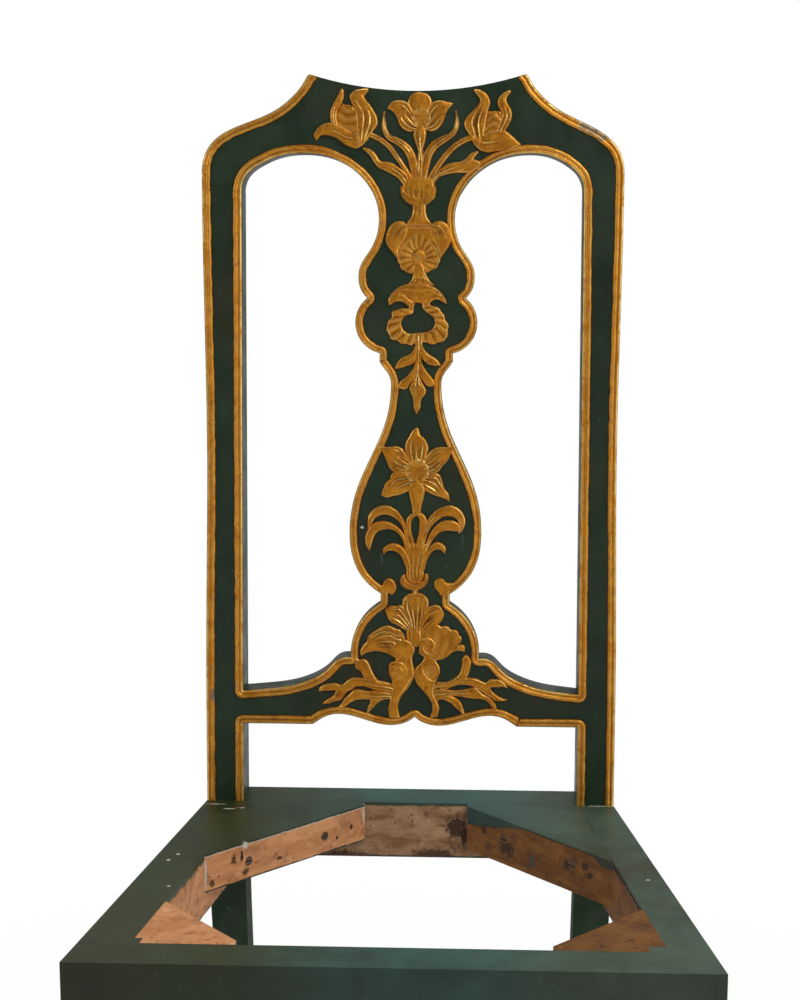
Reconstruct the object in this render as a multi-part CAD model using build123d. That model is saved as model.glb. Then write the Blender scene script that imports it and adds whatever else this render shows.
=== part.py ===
from build123d import *
import os
from math import cos, radians, sin, sqrt

# Joined side chair with a yoke crest, a vase splat and cabriole front legs.
# Millimetres. +X is the sitter's left, +Y points to the back, +Z is up.
# Everything is set out from the foot of the back posts: y = 0 is the posts' front face at
# the seat, and z = 0 is the floor. The finished chair is then moved so that the origin lies
# on the floor under its middle.

# ------------------------------------------------------------------ driving sizes: seat frame
seat_height = 430.0          # top of the seat rails above the floor
seat_depth = 430.0           # front of the front rail to the back of the rear rail
back_half_width = 200.0      # outside of a back post at the seat, from the middle
splay = 0.162                # how much each side rail runs outward for each unit forward
rail_height = 56.0
rear_rail_thickness = 42.0
front_rail_thickness = 40.0
left_rail_width = 43.0       # the two side rails were cut from different stock
right_rail_width = 35.0

# ------------------------------------------------------------------ driving sizes: back
back_rake = 3.4              # lean of the back, degrees
post_width = 36.5            # across the front of a post at the seat
post_top_gain = 1.5          # how much wider a post is where it meets the crest
post_waist = 2.8             # how far a post's outer edge bows inward at half height
post_top_depth = 33.0        # front to back where the post meets the crest
crest_thickness = 31.0
splat_thickness = 15.0
lower_rail_thickness = 29.0
middle_drift = 4.5           # the splat and crest sit a little off the middle of the seat

# Lower back rail, heights along the back above the seat
lower_rail_gap = 78.0        # seat top to the underside of the rail
lower_rail_end = 33.0        # height of the rail where it meets a post
lower_rail_crown = 67.5      # height of the rail under the splat
crown_half = 66.0            # half length of the level crown
crown_slope_run = 38.0       # run of the ogee from the crown to the long slope
crown_slope_drop = 23.5      # drop of the ogee
apron_half = 92.0            # half length of the shaped part of the underside
apron_lift = 10.5            # how far the shaped underside rises at its ends
apron_lobe_half = 21.0       # half distance between the two low lobes
notch_lift = 8.5             # height of the small point between the lobes
notch_side_half = 8.4        # half width of the point, low down
notch_side_lift = 3.0
apron_tail = 18.0            # from the shaped underside's highest point to its end
apron_step = 8.0             # run of the small step at the end of the shaped underside

# Splat outline: half widths, and the heights of its parts from the bottom up
foot_half = 62.5
foot_height = 54.0
foot_haunch_in = 8.5         # how far the foot's side has come in, part of the way up
foot_haunch_height = 34.0
scroll_waist_half = 33.5
scroll_waist_height = 9.0
vase_half = 63.8
vase_belly_up = 59.0         # belly above the scroll waist
vase_height = 203.0
vase_rise = 1.0              # how far above half height the vase reaches half its swell
vase_neck_half = 24.0
nib_half = 35.0
nib_up = 22.0                # foot of the nib above the vase neck
nib_height = 8.0
lower_lobe_half = 58.2
lower_lobe_height = 52.5
notch_half = 47.0
upper_lobe_half = 55.4
upper_lobe_height = 74.5
upper_lobe_up = 20.0         # widest point above the notch
splat_neck_half = 36.0
splat_neck_hold = 4.0        # how far below half height the neck reaches half its swell
splat_flare_height = 25.0    # neck to the joint with the crest

# Crest, heights above the joint line of posts, splat and crest
arch_height = 36.5           # top of the two arches
arch_half = 107.5            # middle of an arch from the middle of the crest
ear_height = 110.0
ear_half = 102.0
ear_tip = 2.5                # blunt tip of an ear
crest_dip = 15.5             # how far the top sinks between the ears
shoulder_height = 18.0       # top of the post's straight outer edge
shoulder_bulge_height = 50.0
shoulder_bulge_in = 13.5
shoulder_hollow_out = 26.0   # bottom of the hollow, outward of an ear and below it
shoulder_hollow_drop = 31.0
ear_flank_out = 8.5          # side of an ear, half way down to the hollow
ear_flank_drop = 15.5

# Posts below the seat
foot_lean = 12.0             # how far a rear foot stands in from the post's outer face
foot_width = 30.0
foot_depth = 32.0
foot_sweep = 62.0            # how far a rear foot stands behind the post's front face

# Front legs
leg_block = 50.0             # square top of a front leg
block_roundness = 0.05       # corner radius of a section, as a share of its size
knee_roundness = 0.16
calf_roundness = 0.24
shin_roundness = 0.38
turned = 0.49                # all but a circle
shortest_flat = 0.4          # straight that is always left between two rounded corners
knee_swell = 12.0            # how much wider the knee is than the block
knee_drop = 46.0             # widest part of the knee below the rails
calf_rise = 0.66             # share of the way up from the ankle to the knee
calf_size = 51.0
calf_forward = 4.0
shin_rise = 0.3
shin_size = 36.0
shin_back = 2.5              # how far the shin curves back under the block
ankle_size = 27.0
ankle_height = 72.0
ankle_back = 3.0
instep_size = 34.0
instep_forward = 6.0
pad_size = 62.0
pad_height = 15.0
pad_edge_size = 61.0         # half way down the pad's rounded edge
pad_base_size = 48.0
pad_forward = 17.0           # centre of the pad outward from the centre of the block

# Knee brackets
bracket_length = 46.0
bracket_height = 38.0
bracket_thickness = 28.0
bracket_lip = 7.0
bracket_hollow = 14.0        # depth of the ogee at half length

# Joints
tenon_thickness = 12.0
tenon_shoulder = 7.0         # step from a rail's edge to its tenon
rear_tenon_length = 25.0
rear_tenon_setback = 16.0    # rear rail tenon behind the post's front face
post_side_tenon_length = 12.0
leg_tenon_length = 22.0
side_tenon_setback = 14.0    # side rail tenon in from the rail's outer face
front_tenon_setback = 10.0
back_tenon_length = 18.0
back_tenon_thickness = 9.0
splat_tenon_thickness = 7.0
splat_tenon_step = 12.0      # step from the splat's edge to its tenon
post_tenon_width = 18.0
post_tenon_length = 20.0
mortise_relief = 1.0         # how much deeper a mortise is than its tenon
glue_gap = 0.4               # between a knee bracket and the leg beside it

# Corner blocks and their screws
left_block_height = 36.0
right_block_height = 44.0
left_block_reach = 113.0     # along the rear rail
right_block_reach = 108.0
rear_block_side_reach = 151.0
front_block_height = 40.0
front_block_reach = 78.0
block_tip = 8.0              # blunt tip against the rail
rear_screw_length = 76.0
front_screw_length = 46.0
screw_head = 9.0
screw_head_depth = 3.0
screw_shank = 5.0
screw_slot_width = 1.3
screw_slot_depth = 1.1
screw_hole_clearance = 0.1
rear_screw_inset = 52.0      # from each end of a rear block's long face
front_screw_inset = 20.0
screw_drop = 19.0            # below the top of the rails

# ------------------------------------------------------------------ sizes that follow
rail_bottom = seat_height - rail_height
front_face = rear_rail_thickness - seat_depth
leg_back = front_face + leg_block
rail_width = {-1: left_rail_width, 1: right_rail_width}
rear_block_height = {-1: left_block_height, 1: right_block_height}
rear_block_reach = {-1: left_block_reach, 1: right_block_reach}
post_inner = back_half_width - post_width

lower_rail_top = lower_rail_gap + lower_rail_end
splat_bottom = lower_rail_gap + lower_rail_crown
scroll_waist_low = splat_bottom + foot_height
scroll_waist_high = scroll_waist_low + scroll_waist_height
vase_belly = scroll_waist_high + vase_belly_up
vase_neck = scroll_waist_high + vase_height
nib_low = vase_neck + nib_up
nib_high = nib_low + nib_height
lobe_notch = nib_high + lower_lobe_height
splat_neck = lobe_notch + upper_lobe_height
crest_joint = splat_neck + splat_flare_height
joint_inner = post_inner - post_top_gain

lean_in = sin(radians(back_rake))
lean_up = cos(radians(back_rake))
names = {-1: "left", 1: "right"}

# The arch and the splat's neck are one quarter of an ellipse, cut at the crest's joint.
arch_run = arch_half - splat_neck_half
arch_rise = arch_height + splat_flare_height
joint_half = arch_half - arch_run * sqrt(1 - (splat_flare_height / arch_rise) ** 2)
joint_slope = splat_flare_height / (arch_half - joint_half) * (arch_run / arch_rise) ** 2


def outer_x(y):
    """Outer face of the seat frame's side, from the middle."""
    return back_half_width - splay * y


# ------------------------------------------------------------------ helpers
def back_plane(depth):
    """Plane of the back at a depth behind its front face, with the seat's top at its foot."""
    return Plane(
        origin=(0, depth * lean_up, seat_height - depth * lean_in),
        x_dir=(1, 0, 0),
        z_dir=(0, -lean_up, lean_in),
    )


def board(outline, front, thickness):
    """A board of the back, from a flat outline."""
    return extrude(back_plane(front + thickness) * outline, thickness)


def rectangle(x0, x1, y0, y1):
    return Pos((x0 + x1) / 2, (y0 + y1) / 2) * Rectangle(abs(x1 - x0), abs(y1 - y0))


def bar(x0, x1, y0, y1, z0, z1):
    """Straight block between two corners."""
    return Pos((x0 + x1) / 2, (y0 + y1) / 2, (z0 + z1) / 2) * Box(
        abs(x1 - x0), abs(y1 - y0), abs(z1 - z0)
    )


def prism(corners, z0, z1):
    """Upright prism over a plan given by its corners."""
    plan = make_face(Polyline(*corners, close=True))
    return extrude(Plane.XY.offset(z0) * plan, z1 - z0)


def mirror_points(points, side):
    """Points set out from the middle of the splat, for one side of the back."""
    return [(side * x + middle_drift, y) for x, y in points]


def across(half, height):
    """Two points at one height, left and right of the middle of the splat."""
    return [(middle_drift - half, height), (middle_drift + half, height)]


# ------------------------------------------------------------------ tenons
def rear_tenon(side, extra=0):
    """Rear seat rail into the inner face of a post."""
    start = side * post_inner
    end = side * (post_inner + rear_tenon_length + extra)
    return bar(
        start,
        end,
        rear_tenon_setback,
        rear_tenon_setback + tenon_thickness,
        rail_bottom + tenon_shoulder,
        seat_height - tenon_shoulder,
    )


def side_tenon(side, start, end):
    """Tenon on an end of a side rail, running between two values of y."""
    outside = side_tenon_setback
    inside = side_tenon_setback + tenon_thickness
    corners = [
        (side * (outer_x(start) - outside), start),
        (side * (outer_x(start) - inside), start),
        (side * (outer_x(end) - inside), end),
        (side * (outer_x(end) - outside), end),
    ]
    return prism(corners, rail_bottom + tenon_shoulder, seat_height - tenon_shoulder)


def front_tenon(side, extra=0):
    """Front seat rail into the inner face of a front leg."""
    near = front_face + front_tenon_setback
    far = near + tenon_thickness
    reach = leg_tenon_length + extra
    corners = [
        (side * (outer_x(near) - leg_block), near),
        (side * (outer_x(near) - leg_block + reach), near),
        (side * (outer_x(far) - leg_block + reach), far),
        (side * (outer_x(far) - leg_block), far),
    ]
    return prism(corners, rail_bottom + tenon_shoulder, seat_height - tenon_shoulder)


def lower_rail_tenon(side, extra=0):
    """Lower back rail into the inner face of a post."""
    start = side * post_inner
    end = side * (post_inner + back_tenon_length + extra)
    outline = rectangle(
        start,
        end,
        lower_rail_gap + tenon_shoulder / 2,
        lower_rail_top - tenon_shoulder / 2,
    )
    front = (lower_rail_thickness - back_tenon_thickness) / 2
    return board(outline, front, back_tenon_thickness)


def post_tenon(side, extra=0):
    """Top of a post into the end of the crest."""
    middle = side * (back_half_width + joint_inner) / 2
    outline = rectangle(
        middle - post_tenon_width / 2,
        middle + post_tenon_width / 2,
        crest_joint,
        crest_joint + post_tenon_length + extra,
    )
    front = (crest_thickness - back_tenon_thickness) / 2
    return board(outline, front, back_tenon_thickness)


def splat_tenon(start, end, half):
    """Tenon on the top or bottom of the splat, between two heights along the back."""
    outline = rectangle(middle_drift - half, middle_drift + half, start, end)
    front = (splat_thickness - splat_tenon_thickness) / 2
    return board(outline, front, splat_tenon_thickness)


def splat_top_tenon(extra=0):
    end = crest_joint + back_tenon_length + extra
    return splat_tenon(crest_joint, end, joint_half - splat_tenon_step)


def splat_bottom_tenon(extra=0):
    end = splat_bottom - back_tenon_length - extra
    return splat_tenon(end, splat_bottom, foot_half - splat_tenon_step)


# ------------------------------------------------------------------ back
def post_side_view():
    """The post and rear leg seen from the side, sawn from one plank."""
    top_front = (crest_joint * lean_in, seat_height + crest_joint * lean_up)
    top_back = (
        top_front[0] + post_top_depth * lean_up,
        top_front[1] - post_top_depth * lean_in,
    )
    knee_front = (0, rail_bottom)
    knee_back = (rear_rail_thickness, rail_bottom)
    toe = (foot_sweep, 0)
    heel = (foot_sweep + foot_depth, 0)
    outline = [
        Line(top_back, top_front),
        Line(top_front, (0, seat_height)),
        Line((0, seat_height), knee_front),
        TangentArc(knee_front, toe, tangent=(0, -1)),
        Line(toe, heel),
        TangentArc(knee_back, heel, tangent=(0, -1)),
        Line(knee_back, (rear_rail_thickness, seat_height)),
        Line((rear_rail_thickness, seat_height), top_back),
    ]
    return make_face(outline)


def post_front_view(side):
    """The post and rear leg seen from the front."""
    top = seat_height + crest_joint * lean_up
    bow_start = seat_height + lower_rail_top * lean_up
    outer = side * back_half_width
    inner = side * post_inner
    foot_outer = side * (back_half_width - foot_lean)
    foot_inner = foot_outer - side * foot_width
    waist = (side * (back_half_width - post_waist), (bow_start + top) / 2)
    outline = [
        Spline((outer, bow_start), waist, (outer, top), tangents=[(0, 1), (0, 1)]),
        Line((outer, bow_start), (outer, rail_bottom)),
        Line((outer, rail_bottom), (foot_outer, 0)),
        Line((foot_outer, 0), (foot_inner, 0)),
        Line((foot_inner, 0), (inner, rail_bottom)),
        Line((inner, rail_bottom), (inner, bow_start)),
        Line((inner, bow_start), (side * joint_inner, top)),
        Line((side * joint_inner, top), (outer, top)),
    ]
    return make_face(outline)


def back_post(side):
    from_side = extrude(Plane.YZ * post_side_view(), 2 * back_half_width, both=True)
    from_front = extrude(Plane.XZ * post_front_view(side), 2 * seat_depth, both=True)
    post = from_side & from_front
    post += post_tenon(side)
    post -= rear_tenon(side, mortise_relief)
    post -= side_tenon(side, 0, post_side_tenon_length + mortise_relief)
    post -= lower_rail_tenon(side, mortise_relief)
    return post


def arch(side):
    """Underside of the crest: up from a post to the crown, then down to the splat."""
    start = (side * joint_inner, crest_joint)
    quarter = sqrt(0.5)
    crown, haunch, end = mirror_points(
        [
            (arch_half, crest_joint + arch_height),
            (arch_half - arch_run * quarter, splat_neck + arch_rise * quarter),
            (joint_half, crest_joint),
        ],
        side,
    )
    shoulder_point = (
        crown[0] + (start[0] - crown[0]) * quarter,
        crest_joint + arch_height * quarter,
    )
    return [
        Spline(start, shoulder_point, crown, tangents=[(0, 1), (-side, 0)]),
        Spline(crown, haunch, end, tangents=[(-side, 0), (-side * joint_slope, -1)]),
    ]


def shoulder(side):
    """Outer edge of the crest from a post up to an ear."""
    tip = ear_half + ear_tip
    bulge = (
        side * (back_half_width - shoulder_bulge_in),
        crest_joint + shoulder_bulge_height,
    )
    hollow = mirror_points(
        [
            (tip + shoulder_hollow_out, crest_joint + ear_height - shoulder_hollow_drop),
            (tip + ear_flank_out, crest_joint + ear_height - ear_flank_drop),
            (tip, crest_joint + ear_height - ear_tip),
        ],
        side,
    )
    start = (side * back_half_width, crest_joint + shoulder_height)
    return Spline(start, bulge, *hollow, tangents=[(0, 1), (-side, 2)])


def crest_outline():
    edges = []
    for side in (-1, 1):
        outer = side * back_half_width
        foot = [(side * joint_inner, crest_joint), (outer, crest_joint)]
        straight = [(outer, crest_joint), (outer, crest_joint + shoulder_height)]
        tip = mirror_points(
            [
                (ear_half + ear_tip, crest_joint + ear_height - ear_tip),
                (ear_half, crest_joint + ear_height),
            ],
            side,
        )
        edges += [Line(*foot), Line(*straight), shoulder(side), Line(*tip)]
        edges += arch(side)
    ears = across(ear_half, crest_joint + ear_height)
    dip = (middle_drift, crest_joint + ear_height - crest_dip)
    edges.append(ThreePointArc(ears[0], dip, ears[1]))
    edges.append(Line(*across(joint_half, crest_joint)))
    return make_face(edges)


def crest_rail():
    crest = board(crest_outline(), 0, crest_thickness)
    for side in (-1, 1):
        crest -= post_tenon(side, mortise_relief)
    return crest - splat_top_tenon(mortise_relief)


def splat_edges(side):
    """One edge of the splat, from the crest down to the lower rail."""
    neck = mirror_points([(joint_half, crest_joint), (splat_neck_half, splat_neck)], side)
    upper = mirror_points(
        [
            (upper_lobe_half, lobe_notch + upper_lobe_up),
            (notch_half, lobe_notch),
        ],
        side,
    )
    swell = mirror_points(
        [
            (
                (splat_neck_half + upper_lobe_half) / 2,
                (splat_neck + lobe_notch + upper_lobe_up) / 2 - splat_neck_hold,
            )
        ],
        side,
    )
    lower = mirror_points(
        [
            (notch_half, lobe_notch),
            (lower_lobe_half, (lobe_notch + nib_high) / 2),
            (nib_half, nib_high),
        ],
        side,
    )
    nib = mirror_points([(nib_half, nib_high), (nib_half, nib_low)], side)
    cove = mirror_points([(nib_half, nib_low), (vase_neck_half, vase_neck)], side)
    vase_side = mirror_points(
        [
            (vase_neck_half, vase_neck),
            ((vase_neck_half + vase_half) / 2, (vase_neck + vase_belly) / 2 + vase_rise),
            (vase_half, vase_belly),
        ],
        side,
    )
    vase_base = mirror_points(
        [(vase_half, vase_belly), (scroll_waist_half, scroll_waist_high)], side
    )
    waist = mirror_points(
        [(scroll_waist_half, scroll_waist_high), (scroll_waist_half, scroll_waist_low)], side
    )
    foot = mirror_points(
        [
            (scroll_waist_half, scroll_waist_low),
            (foot_half - foot_haunch_in, splat_bottom + foot_haunch_height),
            (foot_half, splat_bottom),
        ],
        side,
    )
    return [
        Spline(*neck, tangents=[(-side * joint_slope, -1), (0, -1)]),
        Spline(neck[1], *swell, upper[0], tangents=[(0, -1), (0, -1)]),
        Spline(*upper, tangents=[(0, -1), (-side, -0.9)]),
        ThreePointArc(*lower),
        Line(*nib),
        Spline(*cove, tangents=[(-side * 0.5, -1), (0, -1)]),
        Spline(*vase_side, tangents=[(0, -1), (0, -1)]),
        Spline(*vase_base, tangents=[(0, -1), (-side, -0.6)]),
        Line(*waist),
        ThreePointArc(*foot),
    ]


def splat():
    edges = splat_edges(-1) + splat_edges(1)
    edges.append(Line(*across(joint_half, crest_joint)))
    edges.append(Line(*across(foot_half, splat_bottom)))
    piece = board(make_face(edges), 0, splat_thickness)
    return piece + splat_top_tenon() + splat_bottom_tenon()


def lower_rail_edges(side):
    """Top and underside of one half of the lower back rail."""
    end = side * post_inner
    top = mirror_points(
        [
            (crown_half, splat_bottom),
            (crown_half + crown_slope_run / 2, splat_bottom - crown_slope_drop / 2),
            (crown_half + crown_slope_run, splat_bottom - crown_slope_drop),
        ],
        side,
    )
    under = mirror_points(
        [
            (0, lower_rail_gap + notch_lift),
            (notch_side_half, lower_rail_gap + notch_side_lift),
            (apron_lobe_half, lower_rail_gap),
            (apron_half - apron_tail, lower_rail_gap + apron_lift),
            (apron_half, lower_rail_gap + apron_lift / 2),
            (apron_half + apron_step, lower_rail_gap),
        ],
        side,
    )
    return [
        Line((end, lower_rail_gap), (end, lower_rail_top)),
        Spline(*top, (end, lower_rail_top), tangents=[(side, 0), (side, -0.1)]),
        Line(mirror_points([(0, splat_bottom)], side)[0], top[0]),
        Spline(*under[:5]),
        Line(under[4], under[5]),
        Line(under[5], (end, lower_rail_gap)),
    ]


def lower_back_rail():
    outline = make_face(lower_rail_edges(-1) + lower_rail_edges(1))
    rail = board(outline, 0, lower_rail_thickness)
    rail += lower_rail_tenon(-1) + lower_rail_tenon(1)
    return rail - splat_bottom_tenon(mortise_relief)


# ------------------------------------------------------------------ seat frame
def rear_seat_rail():
    rail = bar(-post_inner, post_inner, 0, rear_rail_thickness, rail_bottom, seat_height)
    return rail + rear_tenon(-1) + rear_tenon(1)


def side_rail(side):
    width = rail_width[side]
    corners = [
        (side * outer_x(0), 0),
        (side * outer_x(leg_back), leg_back),
        (side * (outer_x(leg_back) - width), leg_back),
        (side * (outer_x(0) - width), 0),
    ]
    rail = prism(corners, rail_bottom, seat_height)
    rail += side_tenon(side, 0, post_side_tenon_length)
    return rail + side_tenon(side, leg_back, leg_back - leg_tenon_length)


def front_seat_rail():
    back = front_face + front_rail_thickness
    near = outer_x(front_face) - leg_block
    far = outer_x(back) - leg_block
    corners = [(-near, front_face), (near, front_face), (far, back), (-far, back)]
    rail = prism(corners, rail_bottom, seat_height)
    return rail + front_tenon(-1) + front_tenon(1)


def leg_section(side, height, size, outward, skew, roundness):
    """Level section of a front leg, a rounded square pushed outward on the diagonal."""
    middle_y = front_face + leg_block / 2
    middle_x = outer_x(middle_y) - leg_block / 2
    centre_x = side * (middle_x + outward * (1 + splay * skew))
    centre_y = middle_y - outward
    half = size / 2
    lean = side * splay * skew * half
    corners = [(-half + lean, -half), (half + lean, -half), (half - lean, half), (-half - lean, half)]
    outline = make_face(Polyline(*corners, close=True))
    outline = fillet(outline.vertices(), min(size * roundness, (size - shortest_flat) / 2))
    return Pos(centre_x, centre_y, height) * outline


def leg_shape(side, sections):
    """Smooth body through level sections, from the top down."""
    return loft([leg_section(side, *section) for section in sections])


def front_leg(side):
    knee = leg_block + knee_swell
    shin = rail_bottom - knee_drop - ankle_height
    block = (rail_bottom, leg_block, 0, 1, block_roundness)
    pad = (pad_height, pad_size, pad_forward, 0, turned)
    leg = leg_shape(
        side,
        [
            block,
            (rail_bottom - knee_drop / 2, leg_block + knee_swell / 2, knee_swell / 4, 1, knee_roundness / 2),
            (rail_bottom - knee_drop, knee, knee_swell / 2, 1, knee_roundness),
            (ankle_height + shin * calf_rise, calf_size, calf_forward, 1, calf_roundness),
            (ankle_height + shin * shin_rise, shin_size, -shin_back, 0, shin_roundness),
            (ankle_height, ankle_size, -ankle_back, 0, turned),
            ((ankle_height + pad_height) / 2, instep_size, instep_forward, 0, turned),
            pad,
        ],
    )
    leg += leg_shape(
        side,
        [
            pad,
            (pad_height / 2, pad_edge_size, pad_forward, 0, turned),
            (0, pad_base_size, pad_forward, 0, turned),
        ],
    )
    near = outer_x(front_face)
    far = outer_x(leg_back)
    corners = [
        (side * near, front_face),
        (side * far, leg_back),
        (side * (far - leg_block), leg_back),
        (side * (near - leg_block), front_face),
    ]
    leg += prism(corners, rail_bottom, seat_height)
    leg -= front_tenon(side, mortise_relief)
    return leg - side_tenon(side, leg_back, leg_back - leg_tenon_length - mortise_relief)


def bracket_profile(start, direction):
    """Ogee face of a knee bracket, hanging from the rail and running away from the leg."""
    end = start + direction * bracket_length
    foot = (start, rail_bottom - bracket_height)
    lip = (end, rail_bottom - bracket_lip)
    edges = [
        Line((start, rail_bottom), (end, rail_bottom)),
        Line((end, rail_bottom), lip),
        Spline(
            lip,
            ((start + end) / 2, rail_bottom - bracket_hollow),
            foot,
            tangents=[(-direction, 0), (-direction * 0.35, -1)],
        ),
        Line(foot, (start, rail_bottom)),
    ]
    return make_face(edges)


def front_bracket(side):
    """Knee bracket under the front rail."""
    back = front_face + bracket_thickness
    near = outer_x(front_face) - leg_block - glue_gap
    far = outer_x(back) - leg_block - glue_gap
    inner = far - bracket_length
    corners = [
        (side * near, front_face),
        (side * far, back),
        (side * inner, back),
        (side * inner, front_face),
    ]
    block = prism(corners, rail_bottom - bracket_height, rail_bottom)
    profile = extrude(
        Plane.XZ * bracket_profile(side * near, -side), 2 * seat_depth, both=True
    )
    return block & profile


def side_bracket(side):
    """Knee bracket under a side rail."""
    start = leg_back + glue_gap
    end = start + bracket_length
    corners = [
        (side * outer_x(start), start),
        (side * outer_x(end), end),
        (side * (outer_x(end) - bracket_thickness), end),
        (side * (outer_x(start) - bracket_thickness), start),
    ]
    block = prism(corners, rail_bottom - bracket_height, rail_bottom)
    profile = extrude(Plane.YZ * bracket_profile(start, 1), 2 * seat_depth, both=True)
    return block & profile


# ------------------------------------------------------------------ corner blocks and screws
def rear_block_plan(side):
    """Corners of a rear block's plan; its long face runs from the second to the third."""
    width = rail_width[side]
    corner = outer_x(0) - width
    reach = corner - rear_block_reach[side]
    end = -rear_block_side_reach
    return [
        (side * reach, 0),
        (side * reach, -block_tip),
        (side * (outer_x(end) - width), end),
        (side * corner, 0),
    ]


def front_block_plan(side):
    """Corners of a front block's plan, cut back to fit round the leg."""
    width = rail_width[side]
    rail_back = front_face + front_rail_thickness
    leg_side = outer_x(rail_back) - leg_block
    reach = leg_side - front_block_reach
    end = leg_back + front_block_reach
    return [
        (side * reach, rail_back),
        (side * reach, rail_back + block_tip),
        (side * (outer_x(end) - width), end),
        (side * (outer_x(leg_back) - width), leg_back),
        (side * (outer_x(leg_back) - leg_block), leg_back),
        (side * leg_side, rail_back),
    ]


def screw_planes(plan, inset):
    """Planes of the screw heads on a block's long face, facing out of it."""
    start = Vector(*plan[1])
    end = Vector(*plan[2])
    along = (end - start).normalized()
    outward = Vector(along.Y, -along.X)
    if outward.dot(start - Vector(*plan[3])) < 0:
        outward = -outward
    lift = Vector(0, 0, seat_height - screw_drop)
    places = [start + along * inset, end - along * inset]
    return [Plane(origin=place + lift, x_dir=along, z_dir=outward) for place in places]


def screw_body(length, shank):
    """Countersunk screw on its axis, with its head flush at the origin."""
    head = screw_head / 2
    radius = shank / 2
    profile = [(0, 0), (head, 0), (radius, -screw_head_depth), (radius, -length), (0, -length)]
    return revolve(Plane.XZ * make_face(Polyline(*profile, close=True)), Axis.Z)


def screw(length):
    slot = Pos(0, 0, -screw_slot_depth / 2) * Box(screw_head, screw_slot_width, screw_slot_depth)
    return screw_body(length, screw_shank) - slot


def drill(piece, planes, length):
    """Cut the holes of screws of one length."""
    shank = screw_shank + 2 * screw_hole_clearance
    for plane in planes:
        piece -= plane * screw_body(length + mortise_relief, shank)
    return piece


# ------------------------------------------------------------------ the chair
pieces = {
    "crest_rail": crest_rail(),
    "splat": splat(),
    "lower_back_rail": lower_back_rail(),
    "rear_seat_rail": rear_seat_rail(),
    "front_seat_rail": front_seat_rail(),
}
screws = []
for side, name in names.items():
    rear_plan = rear_block_plan(side)
    front_plan = front_block_plan(side)
    rear_block = prism(rear_plan, seat_height - rear_block_height[side], seat_height)
    front_block = prism(front_plan, seat_height - front_block_height, seat_height)
    rear_screws = screw_planes(rear_plan, rear_screw_inset)
    front_screws = screw_planes(front_plan, front_screw_inset)
    rail = drill(side_rail(side), rear_screws, rear_screw_length)
    pieces[name + "_back_post"] = back_post(side)
    pieces[name + "_side_rail"] = drill(rail, front_screws, front_screw_length)
    pieces[name + "_front_leg"] = front_leg(side)
    pieces[name + "_leg_front_bracket"] = front_bracket(side)
    pieces[name + "_leg_side_bracket"] = side_bracket(side)
    pieces[name + "_rear_corner_block"] = drill(rear_block, rear_screws, rear_screw_length)
    pieces[name + "_front_corner_block"] = drill(front_block, front_screws, front_screw_length)
    pieces["rear_seat_rail"] = drill(pieces["rear_seat_rail"], rear_screws, rear_screw_length)
    pieces["front_seat_rail"] = drill(pieces["front_seat_rail"], front_screws, front_screw_length)
    screws += [plane * screw(rear_screw_length) for plane in rear_screws]
    screws += [plane * screw(front_screw_length) for plane in front_screws]
pieces["corner_block_screws"] = Compound(screws)

extent = Compound(list(pieces.values())).bounding_box()
to_origin = Location((0, -(extent.min.Y + extent.max.Y) / 2, 0))

os.makedirs("parts", exist_ok=True)
for name, piece in pieces.items():
    export_step(piece.moved(to_origin), "parts/" + name + ".step")
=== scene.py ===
# %% [markdown]
# # A painted and gilded side chair
#
# The chair is a joined wooden frame. Its back has a yoke-shaped crest, a lobed splat and a shaped
# cross rail, all painted dark green. A maker built up the flowers and the borders in gesso,
# carved them crisp and gilded them over red clay. This lesson dresses the frame in that order:
# measures, camera, light, finishes with their marks of age, borders and flowers.
# The wooden pieces come from the construction model and are only repainted here.

# %% Load the wooden frame
from math import cos, degrees, pi, radians, sin

import bmesh
import bpy
import numpy as np
from mathutils import Matrix, Vector
from mathutils.noise import noise as noise_at


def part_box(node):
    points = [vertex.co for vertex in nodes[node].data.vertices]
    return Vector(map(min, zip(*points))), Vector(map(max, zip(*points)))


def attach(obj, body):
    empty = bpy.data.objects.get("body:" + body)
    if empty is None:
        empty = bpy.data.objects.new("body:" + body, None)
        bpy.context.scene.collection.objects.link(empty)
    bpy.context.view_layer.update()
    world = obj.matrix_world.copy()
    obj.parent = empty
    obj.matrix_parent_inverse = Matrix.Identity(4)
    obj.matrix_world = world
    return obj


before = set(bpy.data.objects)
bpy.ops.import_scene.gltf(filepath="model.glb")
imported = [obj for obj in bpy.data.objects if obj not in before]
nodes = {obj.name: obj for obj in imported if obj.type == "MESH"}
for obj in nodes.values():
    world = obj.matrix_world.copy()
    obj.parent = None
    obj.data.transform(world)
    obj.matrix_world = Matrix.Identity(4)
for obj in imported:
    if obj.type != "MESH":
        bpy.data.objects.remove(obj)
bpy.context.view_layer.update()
print("pieces of wood:", len(nodes))

# %% [markdown]
# ## The measures of the back
#
# Everything carved lies on one plane, the front of the back. So it is easiest to draw in that
# plane: x across from the middle of the splat, s up from the seat, and n out of the wood.
# The plane is read from the frame, so the carving follows if the chair is built again.

# %% The plane of the back
MM = 0.001

seat_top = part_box("rear_seat_rail")[1].z
back_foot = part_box("rear_seat_rail")[0].y
splat_middle = (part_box("splat")[0].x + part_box("splat")[1].x) / 2
splat_front = min(nodes["splat"].data.polygons, key=lambda face: face.normal.y * face.area)
FOOT = Vector((splat_middle, back_foot, seat_top))
OUT = splat_front.normal.normalized()
UP = Vector((0, OUT.z, -OUT.y))
print("rake of the back:", round(degrees(np.arctan2(OUT.z, -OUT.y)), 2), "degrees")


def on_back(x, s, n=0.0):
    """Place in space of a point of the back, all in millimetres."""
    return FOOT + Vector((x * MM, 0, 0)) + UP * (s * MM) + OUT * (n * MM)
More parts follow.
